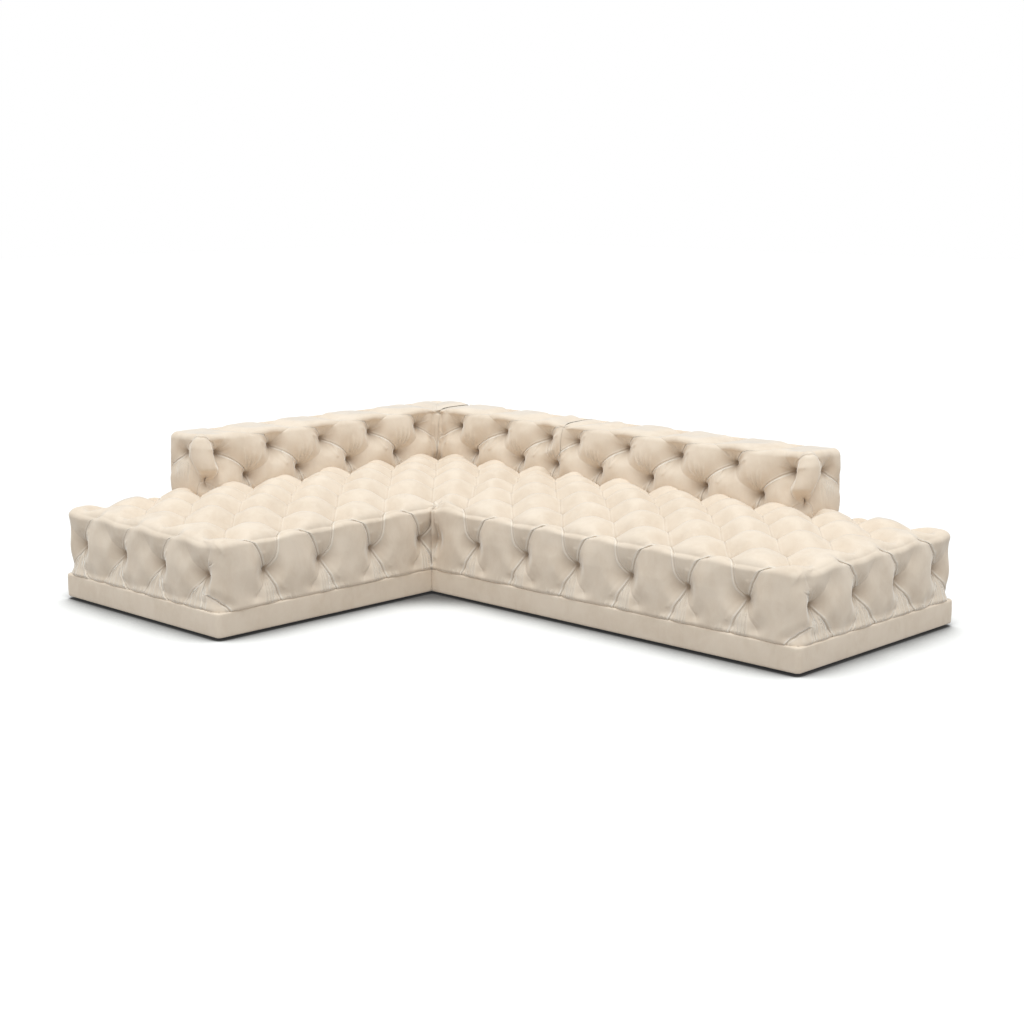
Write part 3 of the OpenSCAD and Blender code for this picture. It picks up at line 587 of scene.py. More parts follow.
def tuft(base, normal, pleats, tufts, plump, pit, swells=()):
    """Draws a stretched cover into its tufts and pleats. Returns its points and what the velvet reads on them: fold
    and wrinkle marks for its bumps and painted highlights, and its painted shade.
    """
    count = len(base)
    hollow = np.ones(count)
    groove, raised = np.zeros(count), np.zeros(count)
    pull = np.zeros_like(base)
    nearest = np.full(count, 1.0)
    marks = {"fold": np.full(count, 0.03), "folded": np.zeros(count),
             "wrinkle": np.full(count, 0.03), "wrinkled": np.zeros(count)}
    closest = {"fold": np.full(count, 1.0), "wrinkle": np.full(count, 1.0)}
    for pleat in pleats:
        line = pleat.points
        reach = max(pleat.reach, 0.02)
        low, high = line.min(0) - reach, line.max(0) + reach
        near = np.nonzero(np.all((base > low) & (base < high), axis=1))[0]
        if not len(near):
            continue
        p = base[near]
        start, run = line[:-1], np.diff(line, axis=0)
        length = np.linalg.norm(run, axis=1)
        t = np.einsum("psk,sk->ps", p[:, None] - start, run) / np.maximum(length ** 2, 1e-12)
        t = np.clip(t, 0, 1)
        offset = p[:, None] - (start + run * t[..., None])
        distance = np.linalg.norm(offset, axis=2)
        best = distance.argmin(1)
        pick = np.arange(len(near))
        d = distance[pick, best]
        offset = offset[pick, best]
        total = length.sum()
        s = (np.concatenate([[0], np.cumsum(length)])[best] + t[pick, best] * length[best]) / total
        taper = np.ones(len(near))
        if pleat.fade[0]:
            taper *= smooth_step(s * total / pleat.fade[0])
        if pleat.fade[1]:
            taper *= smooth_step((1 - s) * total / pleat.fade[1])
        depth = taper * pleat.depth * (pleat.middle + (1 - pleat.middle) * np.abs(2 * s - 1) ** 1.6)
        x = np.clip(np.sqrt(d * d + 6e-5) / pleat.reach, 0, 1)
        valley = (1 - pleat.groove) * (1 - x) ** 1.7 + pleat.groove * np.exp(-d / 0.006) * (x < 1)
        across = np.cross(run[best], normal[near])
        across /= np.maximum(np.linalg.norm(across, axis=1, keepdims=True), 1e-9)
        side = np.einsum("ij,ij->i", across, offset) * (-1 if pleat.lip < 0 else 1)
        kind = "wrinkle" if pleat.crisp < 0 else "fold"
        mine = d < closest[kind][near]
        chosen = near[mine]
        closest[kind][chosen] = d[mine]
        marks[kind][chosen] = side[mine]
        marks["wrinkled" if pleat.crisp < 0 else "folded"][chosen] = (
            abs(pleat.crisp) * taper * (1 - smooth_step((d - 0.009) / 0.009)))[mine]
        if pleat.crisp < 0:
            raised[near] += pleat.height * abs(pleat.crisp) * taper * np.exp(-(d / pleat.width) ** 2)
            continue
        hollow[near] *= 1 - np.clip(depth * valley, 0, 1)
        # This pleat-line mark feeds only the painted shade in the velvet's colour, and less of it on upward faces.
        shown = depth * (1 - 0.8 * np.clip(normal[near, 2], 0, 1))
        groove[near] = np.maximum(groove[near], shown * np.exp(-(d / 0.0045) ** 2))
        if pleat.lip:
            raised[near] += abs(pleat.lip) * np.exp(-((side - 0.0100) / 0.0062) ** 2) * taper
        closer = d < nearest[near]
        chosen = near[closer]
        nearest[chosen] = d[closer]
        gather = 0.36 * np.exp(-(d[closer] / 0.014) ** 2) * min(1, pleat.depth * 1.5)
        pull[chosen] = -offset[closer] * gather[:, None]
    sunk, core = np.zeros(count), np.zeros(count)
    calm = np.ones(count)
    for place, strength in tufts:
        d = np.linalg.norm(base - place, axis=1)
        close = d < 0.18
        sunk[close] = np.maximum(sunk[close], strength * np.exp(-(d[close] / 0.035) ** 1.3))
        core[close] = np.maximum(core[close], strength * np.exp(-(d[close] / 0.014) ** 1.6))
        calm[close] *= 1 - np.exp(-(d[close] / 0.018) ** 2)
    rise = np.zeros(count)
    for line, radius, height in swells:
        start, run = line[:-1], np.diff(line, axis=0)
        t = np.einsum("psk,sk->ps", base[:, None] - start, run) / (run ** 2).sum(1)
        d = np.linalg.norm(base[:, None] - (start + run * np.clip(t, 0, 1)[..., None]), axis=2).min(1)
        rise = np.maximum(rise, height * np.clip(1 - (d / radius) ** 2, 0, 1) ** 0.7)
    sink = plump * (1 - hollow) + pit * (0.62 * sunk + 0.38 * core) - raised * (1 - sunk) - rise * hollow ** 0.5
    marks["folded"] *= calm
    marks["wrinkled"] *= calm
    # Painted shade: how far the colour is darkened, most in the tufts' pits, less on upward faces, and a little along
    # pleats and in valleys.
    marks["crease"] = np.clip(0.06 * groove + 0.15 * (1 - hollow) ** 2 + (0.66 * sunk ** 1.2 + 0.45 * core) * (
        1 - 0.45 * np.clip(normal[:, 2], 0, 1)), 0, 1)
    return base - normal * sink[:, None] + pull * calm[:, None], marks


def mark_cover(made, marks, free):
    """Writes on the cover what its velvet reads: fold and wrinkle marks for its bumps and painted highlights, and its
    painted shade.
    """
    for name, values in marks.items():
        held = made.data.attributes.new(name, "FLOAT", "POINT")
        held.data.foreach_set("value", (values * free if name in ("folded", "wrinkled", "crease") else values)
                              .astype(np.float32))


def drift(points, amplitude, wavelength, seed):
    """A gentle wandering value over space, so that no two pillows are alike."""
    chance = random.Random(seed)
    total = np.zeros(len(points))
    for _ in range(9):
        way = Vector((chance.gauss(0, 1), chance.gauss(0, 1), chance.gauss(0, 1))).normalized()
        wave = 2 * math.pi / (wavelength * chance.uniform(0.7, 1.6))
        total += np.sin(points @ np.array(way) * wave + chance.uniform(0, 2 * math.pi))
    return total * amplitude / 3


def seat_network(seat, chance, joined):
    """Every tuft of a seat, and every pleat between tufts, over the rims and down to the plinth, in the sofa's
    frame."""
    pleats, tufts = [], []
    top = lambda i, j: (seat.first + i * tuft_long, row_first + j * tuft_cross)
    flat = lambda points: seat.place(seat.base([(u, v, seat_edge) for u, v in points])[0])
    pressed = lambda u, v: seat.under_back(np.array([[u, v, seat_edge]]))[0]

    def across_top(a, b, **ways):
        sag = chance.uniform(-0.004, 0.004)
        middle = ((a[0] + b[0]) / 2 + sag, (a[1] + b[1]) / 2 - sag * np.sign((b[0] - a[0]) * (b[1] - a[1])))
        pleats.append(Pleat(flat(bend([a, middle, b])), 0.97, 0.78, 0.098, **ways))

    for i in range(seat.rows + 1):
        for j in range(7):
            if (i + j) % 2:
                continue
            a = top(i, j)
            if a[0] > seat.size[0]:
                continue
            ends = 1.0 if i != seat.end_row else 0.62 if j in (0, 6) else 0.72
            if pressed(*a) < 0.5:
                tufts.append((flat([a])[0], ends))
                for _ in range(5):
                    angle, reach = chance.uniform(0, 2 * math.pi), chance.uniform(0.04, 0.075)
                    b = (a[0] + math.cos(angle) * reach, a[1] + math.sin(angle) * reach)
                    pleats.append(wrinkle(flat(bend([a, b], 5)), chance.uniform(0.2, 0.6)))
            for di, dj in ((1, 1), (1, -1)):
                if not (0 <= j + dj <= 6 and i + di <= seat.rows):
                    continue
                b = top(i + di, j + dj)
                if min(pressed(*a), pressed(*b)) > 0.5:
                    continue
                across_top(a, b, lip=0.0010, groove=0.10, crisp=0.3)
            over_u = seat.first - tuft_long < 0 and i == 0 and joined("low", 0)
            over_v = j == 0 and joined("front", a[0])
            for way in (-1, 1):
                b = (0, a[1] + way * tuft_cross) if over_u else (a[0] + way * tuft_long, 0)
                if (over_u or over_v) and pressed(*b) < 0.5 and 0 < b[0 if over_v else 1] and joined(
                        "front" if over_v else "low", b[0]):
                    if over_u and b[1] < 0.1:
                        continue
                    across_top(a, b, lip=0.0010, groove=0.10, crisp=0.35)
                    if way > 0:
                        tufts.append((flat([b])[0], 0.7))

    def wrap(side, points, **ways):
        pleats.append(Pleat(seat.place(seat.base([seat.rim(side, *p) for p in bend(points, 16)])[0]), **ways))

    def fine(side, points, *ways):
        pleats.append(wrinkle(seat.place(seat.base([seat.rim(side, *p) for p in bend(points, 8)])[0]), *ways))

    def gathers(side, at, hand, left, right):
        """The wrinkles of a side tuft: down its fan to the plinth, from its sides, and at the pillow's foot."""
        for k in range(4):
            end = at + hand * (left + (right - left) * (k + 0.6) / 4.4) + chance.uniform(-0.003, 0.003)
            fine(side, [(at + (end - at) * 0.45, drop - 0.035), (at + (end - at) * 0.85, drop - 0.085), (end, foot)],
                 chance.uniform(0.75, 1.0), 0.0075, 0.0016, 0.1)
        for k in range(4):
            angle = math.pi / 2 + hand * (0.95 + 0.3 * k) + chance.uniform(-0.08, 0.08)
            reach = chance.uniform(0.05, 0.09)
            fine(side, [(at, drop), (at + math.cos(angle) * reach, drop + math.sin(angle) * reach)],
                 chance.uniform(0.2, 0.5))
        for k in range(3):
            angle = math.pi / 2 - hand * (0.10 + 0.22 * k) + chance.uniform(-0.05, 0.05)
            reach = chance.uniform(0.07, 0.11)
            fine(side, [(at, drop), (at + math.cos(angle) * reach, drop + math.sin(angle) * reach)],
                 chance.uniform(0.3, 0.6))
        for k in range(4):
            start = at + hand * (right + 0.018 + 0.022 * k) + chance.uniform(-0.006, 0.006)
            fine(side, [(start, foot), (start - hand * 0.010, foot + chance.uniform(0.02, 0.04))],
                 chance.uniform(0.5, 0.9), 0.0075, 0.0012)

    drop = side_tuft_level - seat_edge
    foot = plinth_top - seat_edge
    for side in ("front", "rear"):
        way = seat.slant[side]
        for i in range(1, seat.rows, 2):
            u = seat.first + i * tuft_long
            if joined(side, u):
                continue
            shift = lambda a: u + way * a + chance.uniform(-0.002, 0.002)
            tufts.append((seat.place(seat.base([seat.rim(side, u, drop)])[0])[0], 1.0))
            wrap(side, [(u, drop), (shift(0.021), -0.116), (shift(0.051), -0.056), (shift(0.082), -0.014),
                        (shift(0.114), 0.04), (u + way * tuft_long, row_first)],
                 depth=0.97, middle=0.70, reach=0.088, lip=0.0030 * -way, groove=0.15, crisp=1.0)
            wrap(side, [(u, drop), (shift(-0.034), -0.114), (shift(-0.047), -0.068), (shift(-0.056), -0.014),
                        (shift(-0.092), 0.05), (u - way * tuft_long, row_first)],
                 depth=0.90, middle=0.60, reach=0.088, lip=0.0016 * -way, groove=0.10, crisp=0.75)
            wrap(side, [(u, drop), (shift(-0.016), -0.193), (shift(-0.038), -0.237), (shift(-0.056), foot)],
                 depth=0.92, middle=0.66, reach=0.075, lip=0.0036 * way, groove=0.15, crisp=1.0)
            wrap(side, [(u, drop), (shift(0.022), -0.203), (shift(0.058), -0.239), (shift(0.090), foot)],
                 depth=0.80, middle=0.55, reach=0.085, fade=(0, 0.05), groove=0.08, crisp=0.15)
            gathers(side, u, -way, -0.036, 0.040)
    for side in ("low", "high"):
        if joined(side, 0):
            continue
        inner = seat.first if side == "low" else seat.size[0] - seat.first - seat.rows * tuft_long
        for j in range(0, 7, 2):
            v = row_first + j * tuft_cross
            shift = lambda a: v + a + chance.uniform(-0.002, 0.002)
            tufts.append((seat.place(seat.base([seat.rim(side, v, drop)])[0])[0], 1.05))
            corner = j == 0 and not joined("front", 0 if side == "low" else seat.size[0])
            if corner:
                wrap(side, [(v, drop), (shift(-0.030), -0.112), (shift(-0.066), -0.096), (shift(-0.104), -0.080)],
                     depth=0.70, middle=0.60, reach=0.060, lip=0.0024, groove=0.12, crisp=0.9, fade=(0, 0.06))
                wrap(side, [(v, drop), (shift(-0.034), -0.090), (shift(-0.070), -0.030), (shift(-0.085), 0.02)],
                     depth=0.75, middle=0.60, reach=0.090, groove=0.04, crisp=0.10, fade=(0, 0.07))
                around = 0 if side == "low" else seat.size[0]
                inside = 1 if side == "low" else -1
                turned = [(around + inside * 0.058, 0, plinth_top), (around + inside * 0.040, 0, 0.134),
                          (around, 0, 0.150), (around, 0.045, 0.163), (around, v - 0.022, 0.170)]
                pleats.append(Pleat(seat.place(seat.base(bend(turned, 16))[0]), depth=0.80, middle=0.75, reach=0.050,
                                    lip=0.0030 * inside, groove=0.15, crisp=1.0, fade=(0, 0.02)))
            else:
                wrap(side, [(v, drop), (shift(0.006), -0.128), (shift(-0.020), -0.088), (shift(-0.064), -0.034),
                            (shift(-0.108), 0.004), (shift(-0.160), 0.030)],
                     depth=0.80, middle=0.70, reach=0.070, lip=0.0030, groove=0.17, crisp=1.0, fade=(0, 0.075))
            wrap(side, [(v, drop), (shift(0.035), -0.120), (shift(0.075), -0.070), (shift(0.100), -0.010)],
                 depth=0.85, middle=0.60, reach=0.090, groove=0.05, crisp=0.12, fade=(0, 0.09))
            wrap(side, [(v, inner), (v, 0.055), (v, 0.0)],
                 depth=0.55, middle=0.60, reach=0.080, groove=0.04, crisp=0.10, fade=(0, 0.07))
            wrap(side, [(v, drop), (shift(0.026), -0.187), (shift(0.057), -0.220), (shift(0.085), -0.253),
                        (shift(0.105), foot)],
                 depth=0.92, middle=0.66, reach=0.075, lip=-0.0036, groove=0.15, crisp=1.0)
            wrap(side, [(v, drop), (v + 0.004, -0.188), (v, -0.232), (v - 0.006, -0.262), (v - 0.012, foot)]
                 if corner else
                 [(v, drop), (shift(0.006), -0.188), (shift(-0.014), -0.236), (shift(-0.045), -0.272),
                  (shift(-0.072), foot)],
                 depth=0.90, middle=0.62, reach=0.085, lip=0.0020, groove=0.10, crisp=0.7)
            gathers(side, v, 1, -0.055, 0.090)
    return pleats, tufts


def closed_below(made, low, high, top, foot):
    """Closes a cover's open foot round the hollow that its seat box fills."""
    mesh = bmesh.new()
    mesh.from_mesh(made.data)
    rim = [e for e in mesh.edges if e.is_boundary]
    plan = [(low[0], low[1]), (high[0], low[1]), (high[0], high[1]), (low[0], high[1])]
    lower = [mesh.verts.new((x, y, foot)) for x, y in plan]
    upper = [mesh.verts.new((x, y, top)) for x, y in plan]
    inner = [mesh.edges.new((lower[k], lower[(k + 1) % 4])) for k in range(4)]
    for k in range(4):
        mesh.faces.new([lower[k], upper[k], upper[(k + 1) % 4], lower[(k + 1) % 4]])
    mesh.faces.new(upper[::-1])
    bmesh.ops.triangle_fill(mesh, use_beauty=True, edges=rim + inner)
    bmesh.ops.recalc_face_normals(mesh, faces=mesh.faces)
    mesh.to_mesh(made.data)
    mesh.free()


def seat_cover(name, seat, pleats, tufts, box):
    """Makes one seat cover."""
    points, faces = box_skin(seat.size, plinth_top, cloth_step)
    base, normal = seat.base(points)
    base = seat.place(base)
    normal = seat.place(normal) - seat.place(np.zeros((1, 3)))
    upward = np.clip(normal[:, 2], 0, 1)
    low = smooth_step((points[:, 2] - plinth_top) / 0.035)
    crown = np.clip((base[:, 2] - seat_edge) / seat_crown, 0, 1)
    drawn, marks = tuft(base, normal, pleats, tufts, (0.036 + (0.018 + 0.016 * crown) * upward) * (0.30 + 0.70 * low),
                        0.029 - 0.015 * upward)
    drawn += normal * drift(base, 0.0022, 0.16, 11)[:, None]
    touch_u, touch_v = seat.touch(points)
    touching = np.maximum(touch_u * (points[:, 0] == 0), touch_v * (points[:, 1] == 0))
    free = 1 - seat.under_back(points) * (points[:, 2] >= seat_edge - 1e-6)
    drawn = base + (drawn - base) * free[:, None]
    over_slab = (points[:, 2] >= seat_edge - 1e-6) & (free > 0.5)
    drawn[over_slab, 2] = np.maximum(drawn[over_slab, 2], slab_top + slab_clearance)
    meeting = np.nonzero(touching)[0]
    rim = meeting[points[meeting, 2] >= seat_edge - 1e-6]
    run = 1 if touching[points[:, 0] == 0].min() > 0.5 else 0
    rim = rim[np.argsort(points[rim, run])]
    level = np.interp(points[meeting, run], points[rim, run], drawn[rim, 2])
    share = np.clip((points[meeting, 2] - slab_top) / (seat_edge - slab_top), 0, 1)
    flat = seat.place(points[meeting])
    flat[:, 2] = np.minimum(points[meeting, 2], slab_top) + share * (level - slab_top)
    drawn[meeting] += (flat - drawn[meeting]) * touching[meeting, None]
    drawn[:, 2] = np.where(points[:, 2] <= plinth_top + 1e-6, plinth_top, np.maximum(drawn[:, 2], plinth_top))
    made = piece(name.replace("cover", "velvet"), drawn, faces, velvet_tufted, "velvet_tufted")
    mark_cover(made, marks, free)
    corners = seat.place(np.array([[*box[0], 0], [*box[1], 0]], float))
    closed_below(made, corners.min(0), corners.max(0), slab_top, plinth_top)
    made.data.set_sharp_from_angle(angle=sharp_fold)
    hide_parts(name)
    return made


velvet_tufted = velvet("velvet_tufted", True)


def chaise_touch(p):
    return np.zeros(len(p)), smooth_step((p[:, 0] - free_inner) / seat_round)


def bench_touch(p):
    return np.ones(len(p)), np.zeros(len(p))


def chaise_edges(u, v):
    past = np.maximum(u - free_inner, 0)
    across = np.minimum.reduce([np.hypot(v, past), wing_depth - v, np.maximum(chaise_length - u, 0)])
    return u, across


def bench_edges(u, v):
    return bench_length - u, np.minimum(v, wing_depth - v)


chaise_seat = Seat(in_chaise, chaise_length, 120 * mm, 14,
                   [(open_end, 9, wing_depth - back_thickness, 9), (chaise_length - back_thickness, 9, -9, 9)],
                   chaise_touch, chaise_edges, [(0, 0), (0, wing_depth), (chaise_length, wing_depth)])
chaise_seat.slant = {"front": -1, "rear": 1}
chaise_seat.end_row = 0
bench_seat = Seat(in_bench, bench_length, 100 * mm, 12,
                  [(-9, bench_length - open_end, wing_depth - back_thickness, 9)],
                  bench_touch, bench_edges, [(bench_length, 0), (bench_length, wing_depth)])
bench_seat.slant = {"front": 1, "rear": -1}
bench_seat.end_row = bench_seat.rows

chaise_pleats, chaise_tufts = seat_network(chaise_seat, random.Random(11),
                                           lambda side, u: side == "front" and u > free_inner)
bench_pleats, bench_tufts = seat_network(bench_seat, random.Random(12), lambda side, u: side == "low")
seat_pleats, seat_tufts = chaise_pleats + bench_pleats, chaise_tufts + bench_tufts
seat_cover("chaise_seat_cover", chaise_seat, seat_pleats, seat_tufts,
           [(side_pad, side_pad), (chaise_length - side_pad, wing_depth - side_pad)])
seat_cover("bench_seat_cover", bench_seat, seat_pleats, seat_tufts,
           [(joint_pad, side_pad), (bench_length - side_pad, wing_depth - side_pad)])


# Back covers:
# The same velvet over the backs' foam and frames, with two rows of deep blind tufts.
# Each pleat that climbs from an upper tuft turns over the top. A roll of padding wraps each free end.

back_top = 672 * mm
back_height = back_top - back_foot
back_swell = 28 * mm
back_front_pad = 80 * mm
back_slab_top = back_height - 38 * mm
upper_level = 586 * mm - back_foot
lower_level = 472 * mm - back_foot
back_round = 30 * mm
rear_round = 25 * mm
end_tuft = 140 * mm
frame_end_pad = 62 * mm
frame_joint_pad = 20 * mm


def in_chaise_back(points):
    return np.stack([back_thickness - half_x - points[:, 1], open_end - half_y + points[:, 0],
                     back_foot + points[:, 2]], 1)


def in_corner_back(points):
    return np.stack([back_thickness - half_x + points[:, 0], half_y - back_thickness + points[:, 1],
                     back_foot + points[:, 2]], 1)


def in_bench_back(points):
    return np.stack([joint_x + points[:, 0], half_y - back_thickness + points[:, 1],
                     back_foot + points[:, 2]], 1)


class Back:
    """The stretched shape of a back cover: u along it, v from its face to its rear, z up from its foot.
    hand says to which side its crisp pleats lean as they climb."""

    def __init__(self, place, length, face, uppers, lowers, free, rounds, hand):
        self.place = place
        self.rounds = rounds
        self.size = np.array([length, back_thickness, back_height])
        self.face = face
        self.uppers = uppers
        self.lowers = lowers
        self.free = free
        self.hand = hand

    def base(self, p):
        p = np.atleast_2d(np.asarray(p, float))
        low = np.tile([self.rounds[0], back_round, back_round], (len(p), 1))
        high = np.tile([self.rounds[1], rear_round, back_round], (len(p), 1))
        if self.face[1] < self.size[0]:
            low[:, 1] *= 1 - smooth_step((p[:, 0] - self.face[1]) / back_round)
        shell, n = rounded(p, self.size, low, high)
        level = np.clip(shell[:, 2] / back_height, 0, 1)
        share = np.sin(math.pi * level ** 0.6)
        shell[:, 1] -= back_swell * share * np.maximum(0, -n[:, 1]) ** 2
        for end, way in ((0, -1), (1, 1)):
            if self.free[end]:
                shell[:, 0] += way * 0.45 * back_swell * share * np.maximum(0, way * n[:, 0]) ** 2
        return shell, n

    def rim(self, along, t):
        return (along, max(t, 0), back_height + min(t, 0))

    def around(self, end, s, z):
        """A place s round a free end: along the face where s is positive, along the end where negative."""
        if end == 0:
            return (max(s, 0), max(-s, 0), z)
        return (self.size[0] - max(s, 0), max(-s, 0), z)


def back_network(back, chance):
    """Every tuft and pleat of a back, and the rolls at its free ends."""
    pleats, tufts, rolls = [], [], []
    hand = back.hand
    up, low = upper_level - back_height, lower_level - back_height
    on = lambda points: back.base([back.rim(*p) for p in points])[0]

    def wrap(points, **ways):
        pleats.append(Pleat(on(bend(points, 16)), **ways))

    def fine(points, strength, width=0.0048, height=0.0018):
        pleats.append(wrinkle(on(bend(points, 8)), strength, width, height))

    ends = [(0, back.uppers[0]), (1, back.uppers[-1])]
    wrapped = [u for (end, u) in ends if back.free[end]]
    for u in back.uppers:
        tufts.append((on([(u, up)])[0], 1.0))
        jitter = chance.uniform(-0.008, 0.008)
        if u in wrapped:
            wrap([(u, up), (u - 0.02 * hand, up + 0.05), (u - 0.03 * hand, 0.03), (u - 0.03 * hand, 0.10)],
                 depth=0.5, middle=0.7, reach=0.06, groove=0.06, crisp=0.1, fade=(0, 0.1))
        else:
            wrap([(u, up), (u + hand * 0.034, up + 0.044), (u + hand * 0.072, -0.010), (u + hand * 0.112, 0.016),
                  (u + hand * (0.150 + jitter), 0.050), (u + hand * (0.175 + jitter), 0.110)],
                 depth=0.97, middle=0.80, reach=0.085, lip=0.0042 * hand, groove=0.13, fade=(0, 0.05), crisp=1.0)
            wrap([(u + hand * (0.155 + jitter), 0.060), (u + hand * (0.180 + jitter), 0.140),
                  (u + hand * (0.180 + jitter), back_thickness - 0.002)],
                 depth=0.72, middle=1.0, reach=0.085, groove=0.05, fade=(0.05, 0), crisp=0.5)
            wrap([(u, up), (u - hand * 0.035, up + 0.040), (u - hand * 0.085, 0.0), (u - hand * 0.115, 0.06),
                  (u - hand * 0.120, back_thickness - 0.002)],
                 depth=0.60, middle=0.75, reach=0.085, groove=0.05, crisp=0.1)
        for k in range(7):
            angle = math.pi / 2 + (k - 3) * 0.30 + 0.25 * hand + chance.uniform(-0.1, 0.1)
            reach = chance.uniform(0.05, 0.085)
            fine([(u, up), (u + math.cos(angle) * reach, up + math.sin(angle) * reach)], chance.uniform(0.5, 1.0),
                 0.006, 0.0026)
        left = [w for w in back.lowers if w < u]
        right = [w for w in back.lowers if w > u]
        for w, way in ((left[-1] if left else None, -1), (right[0] if right else None, 1)):
            crisp = way == -hand
            if w is None or abs(w - u) > 0.2:
                end = back.face[0] if way < 0 else back.face[1]
                if not back.free[0 if way < 0 else 1]:
                    end -= way * 0.006
                    wrap([(u, up), (u + (end - u) * 0.6, up - 0.045), (end, up - 0.075), (end, low - 0.06)],
                         depth=0.9, middle=0.8, reach=0.06, lip=0.002 * way, groove=0.13, crisp=0.8)
                    wrap([(end, up - 0.075), (end, up), (end, -0.02), (end, 0.01)],
                         depth=0.70, middle=0.9, reach=0.075, groove=0.05, crisp=0.1, fade=(0, 0.04))
                    if way > 0:
                        wrap([(end, -0.02), (end + 0.05, 0.05), (end + 0.12, 0.12), (end + 0.20, 0.20)],
                             depth=0.70, middle=0.9, reach=0.075, groove=0.05, crisp=0.2, fade=(0.03, 0))
                continue
            if crisp:
                wrap([(u, up), (u + (w - u) * 0.45, up + (low - up) * 0.32),
                      (u + (w - u) * 0.92, up + (low - up) * 0.78), (w, low)],
                     depth=0.97, middle=0.74, reach=0.085, lip=0.0042 * way, groove=0.13, crisp=1.0)
            else:
                wrap([(u, up), (u + (w - u) * 0.25, up + (low - up) * 0.45),
                      (u + (w - u) * 0.75, up + (low - up) * 0.85), (w, low)],
                     depth=0.9, middle=0.6, reach=0.085, groove=0.05, crisp=0.12)
        for k in range(5 if min(abs(u - back.face[0]), abs(u - back.face[1])) > 0.15 else 0):
            start = u - hand * (0.03 + 0.012 * k)
            fine([(start, up - 0.012 - 0.010 * k), (start - hand * 0.02, up - 0.05 - 0.010 * k),
                  (start - hand * 0.030, up - chance.uniform(0.07, 0.11) - 0.01 * k)], chance.uniform(0.6, 1.0))
    for u in back.lowers:
        tufts.append((on([(u, low)])[0], 1.0))
        wrap([(u, low), (u - hand * 0.008, low - 0.085)], depth=0.85, middle=0.9, reach=0.05,
             lip=0.0016 * hand, groove=0.13, crisp=0.9)
        for k in range(4):
            lean = -0.30 + 0.32 * k + chance.uniform(-0.05, 0.05)
            reach = chance.uniform(0.11, 0.15)
            fine([(u, low), (u - hand * lean * reach * 0.55, low + reach * 0.5),
                  (u - hand * lean * reach * 0.75, low + reach)], chance.uniform(0.75, 1.0), 0.0090, 0.0058)
        for k in range(6):
            angle = math.pi / 2 + hand * 0.9 + (k - 2.5) * 0.16
            reach = chance.uniform(0.04, 0.07)
            fine([(u, low), (u + math.cos(angle) * reach, low + math.sin(angle) * reach)], chance.uniform(0.4, 0.9),
                 0.005, 0.002)
        for k in range(5):
            end = u + (k - 2) * 0.02
            fine([(u + (end - u) * 0.3, low - 0.015), (end, low - 0.08)], chance.uniform(0.5, 0.9))
    for end, u in ends:
        if not back.free[end]:
            continue
        inward = u if end == 0 else back.size[0] - u
        side = 1 if end else -1
        place = lambda s, z: back.base([back.around(end, s, z)])[0][0]
        line = lambda points, count=18: back.base([back.around(end, *p) for p in bend(points, count)])[0]
        tufts.append((place(-end_tuft, upper_level), 1.0))
        tufts.append((place(0.012, lower_level), 0.75))
        mid = (upper_level + lower_level) / 2
        rolls.append((line([(0.030, lower_level + 0.046), (0.014, mid + 0.022), (-0.012, back_height - 0.034)], 6),
                      0.056, 0.030))
        pleats.append(Pleat(
            line([(inward, upper_level), (inward * 0.80, upper_level + 0.036), (inward * 0.42, back_height - 0.014),
                  (0, back_height + 0.002), (-end_tuft * 0.34, back_height - 0.014),
                  (-end_tuft * 0.74, upper_level + 0.036), (-end_tuft, upper_level)], 30),
            0.8, 0.7, 0.045, lip=0.0010 * -side, groove=0.08, crisp=0.45))
        for bowed in ([(inward, upper_level), (inward * 0.86, mid + 0.02), (inward * 0.88, lower_level + 0.042),
                       (0.056, lower_level + 0.004), (0.014, lower_level)],
                      [(-end_tuft, upper_level), (-end_tuft * 0.62, mid + 0.022),
                       (-end_tuft * 0.42, lower_level + 0.048), (-0.026, lower_level + 0.008),
                       (0.014, lower_level)]):
            pleats.append(Pleat(line(bowed, 24), 0.95, 0.9, 0.060, groove=0.05, crisp=0.10))
        pleats.append(Pleat(line([(-end_tuft, upper_level), (-end_tuft - 0.03, upper_level - 0.03),
                                  (-back_thickness + 0.01, upper_level - 0.066)]),
                            0.85, 0.8, 0.06, lip=0.0022 * side, groove=0.13, crisp=1.0))
        pleats.append(Pleat(line([(-end_tuft, upper_level), (-end_tuft - 0.012, upper_level + 0.05),
                                  (-end_tuft - 0.012, back_height)]),
                            0.5, 0.8, 0.05, groove=0.06, crisp=0.15, fade=(0, 0.05)))
        pleats.append(Pleat(line([(0.012, lower_level), (-0.03, lower_level - 0.012), (-0.05, 0.0)]),
                            0.75, 0.8, 0.05, lip=0.001 * side, groove=0.16, crisp=0.5))
        pleats.append(Pleat(line([(0.012, lower_level), (0.06, lower_level - 0.022), (0.10, 0.0)]),
                            0.6, 0.8, 0.05, groove=0.08, crisp=0.3))
        for k in range(6):
            s = -end_tuft * (0.62 + 0.12 * k)
            pleats.append(wrinkle(line([(-end_tuft * 0.98, upper_level - 0.025), (s, mid), (s, 0.03)], 8),
                                  chance.uniform(0.5, 0.9)))
        for k in range(6):
            angle = math.pi / 2 + (k - 2.5) * 0.3
            reach = chance.uniform(0.035, 0.06)
            pleats.append(wrinkle(line([(-end_tuft, upper_level), (-end_tuft + math.cos(angle) * reach,
                                                                   upper_level + math.sin(angle) * reach)], 6),
                                  chance.uniform(0.5, 0.9)))
    rolled = [(back.place(line), radius, height) for line, radius, height in rolls]
    for pleat in pleats:
        pleat.points = back.place(pleat.points)
    return pleats, [(back.place(at[None])[0], strength) for at, strength in tufts], rolled


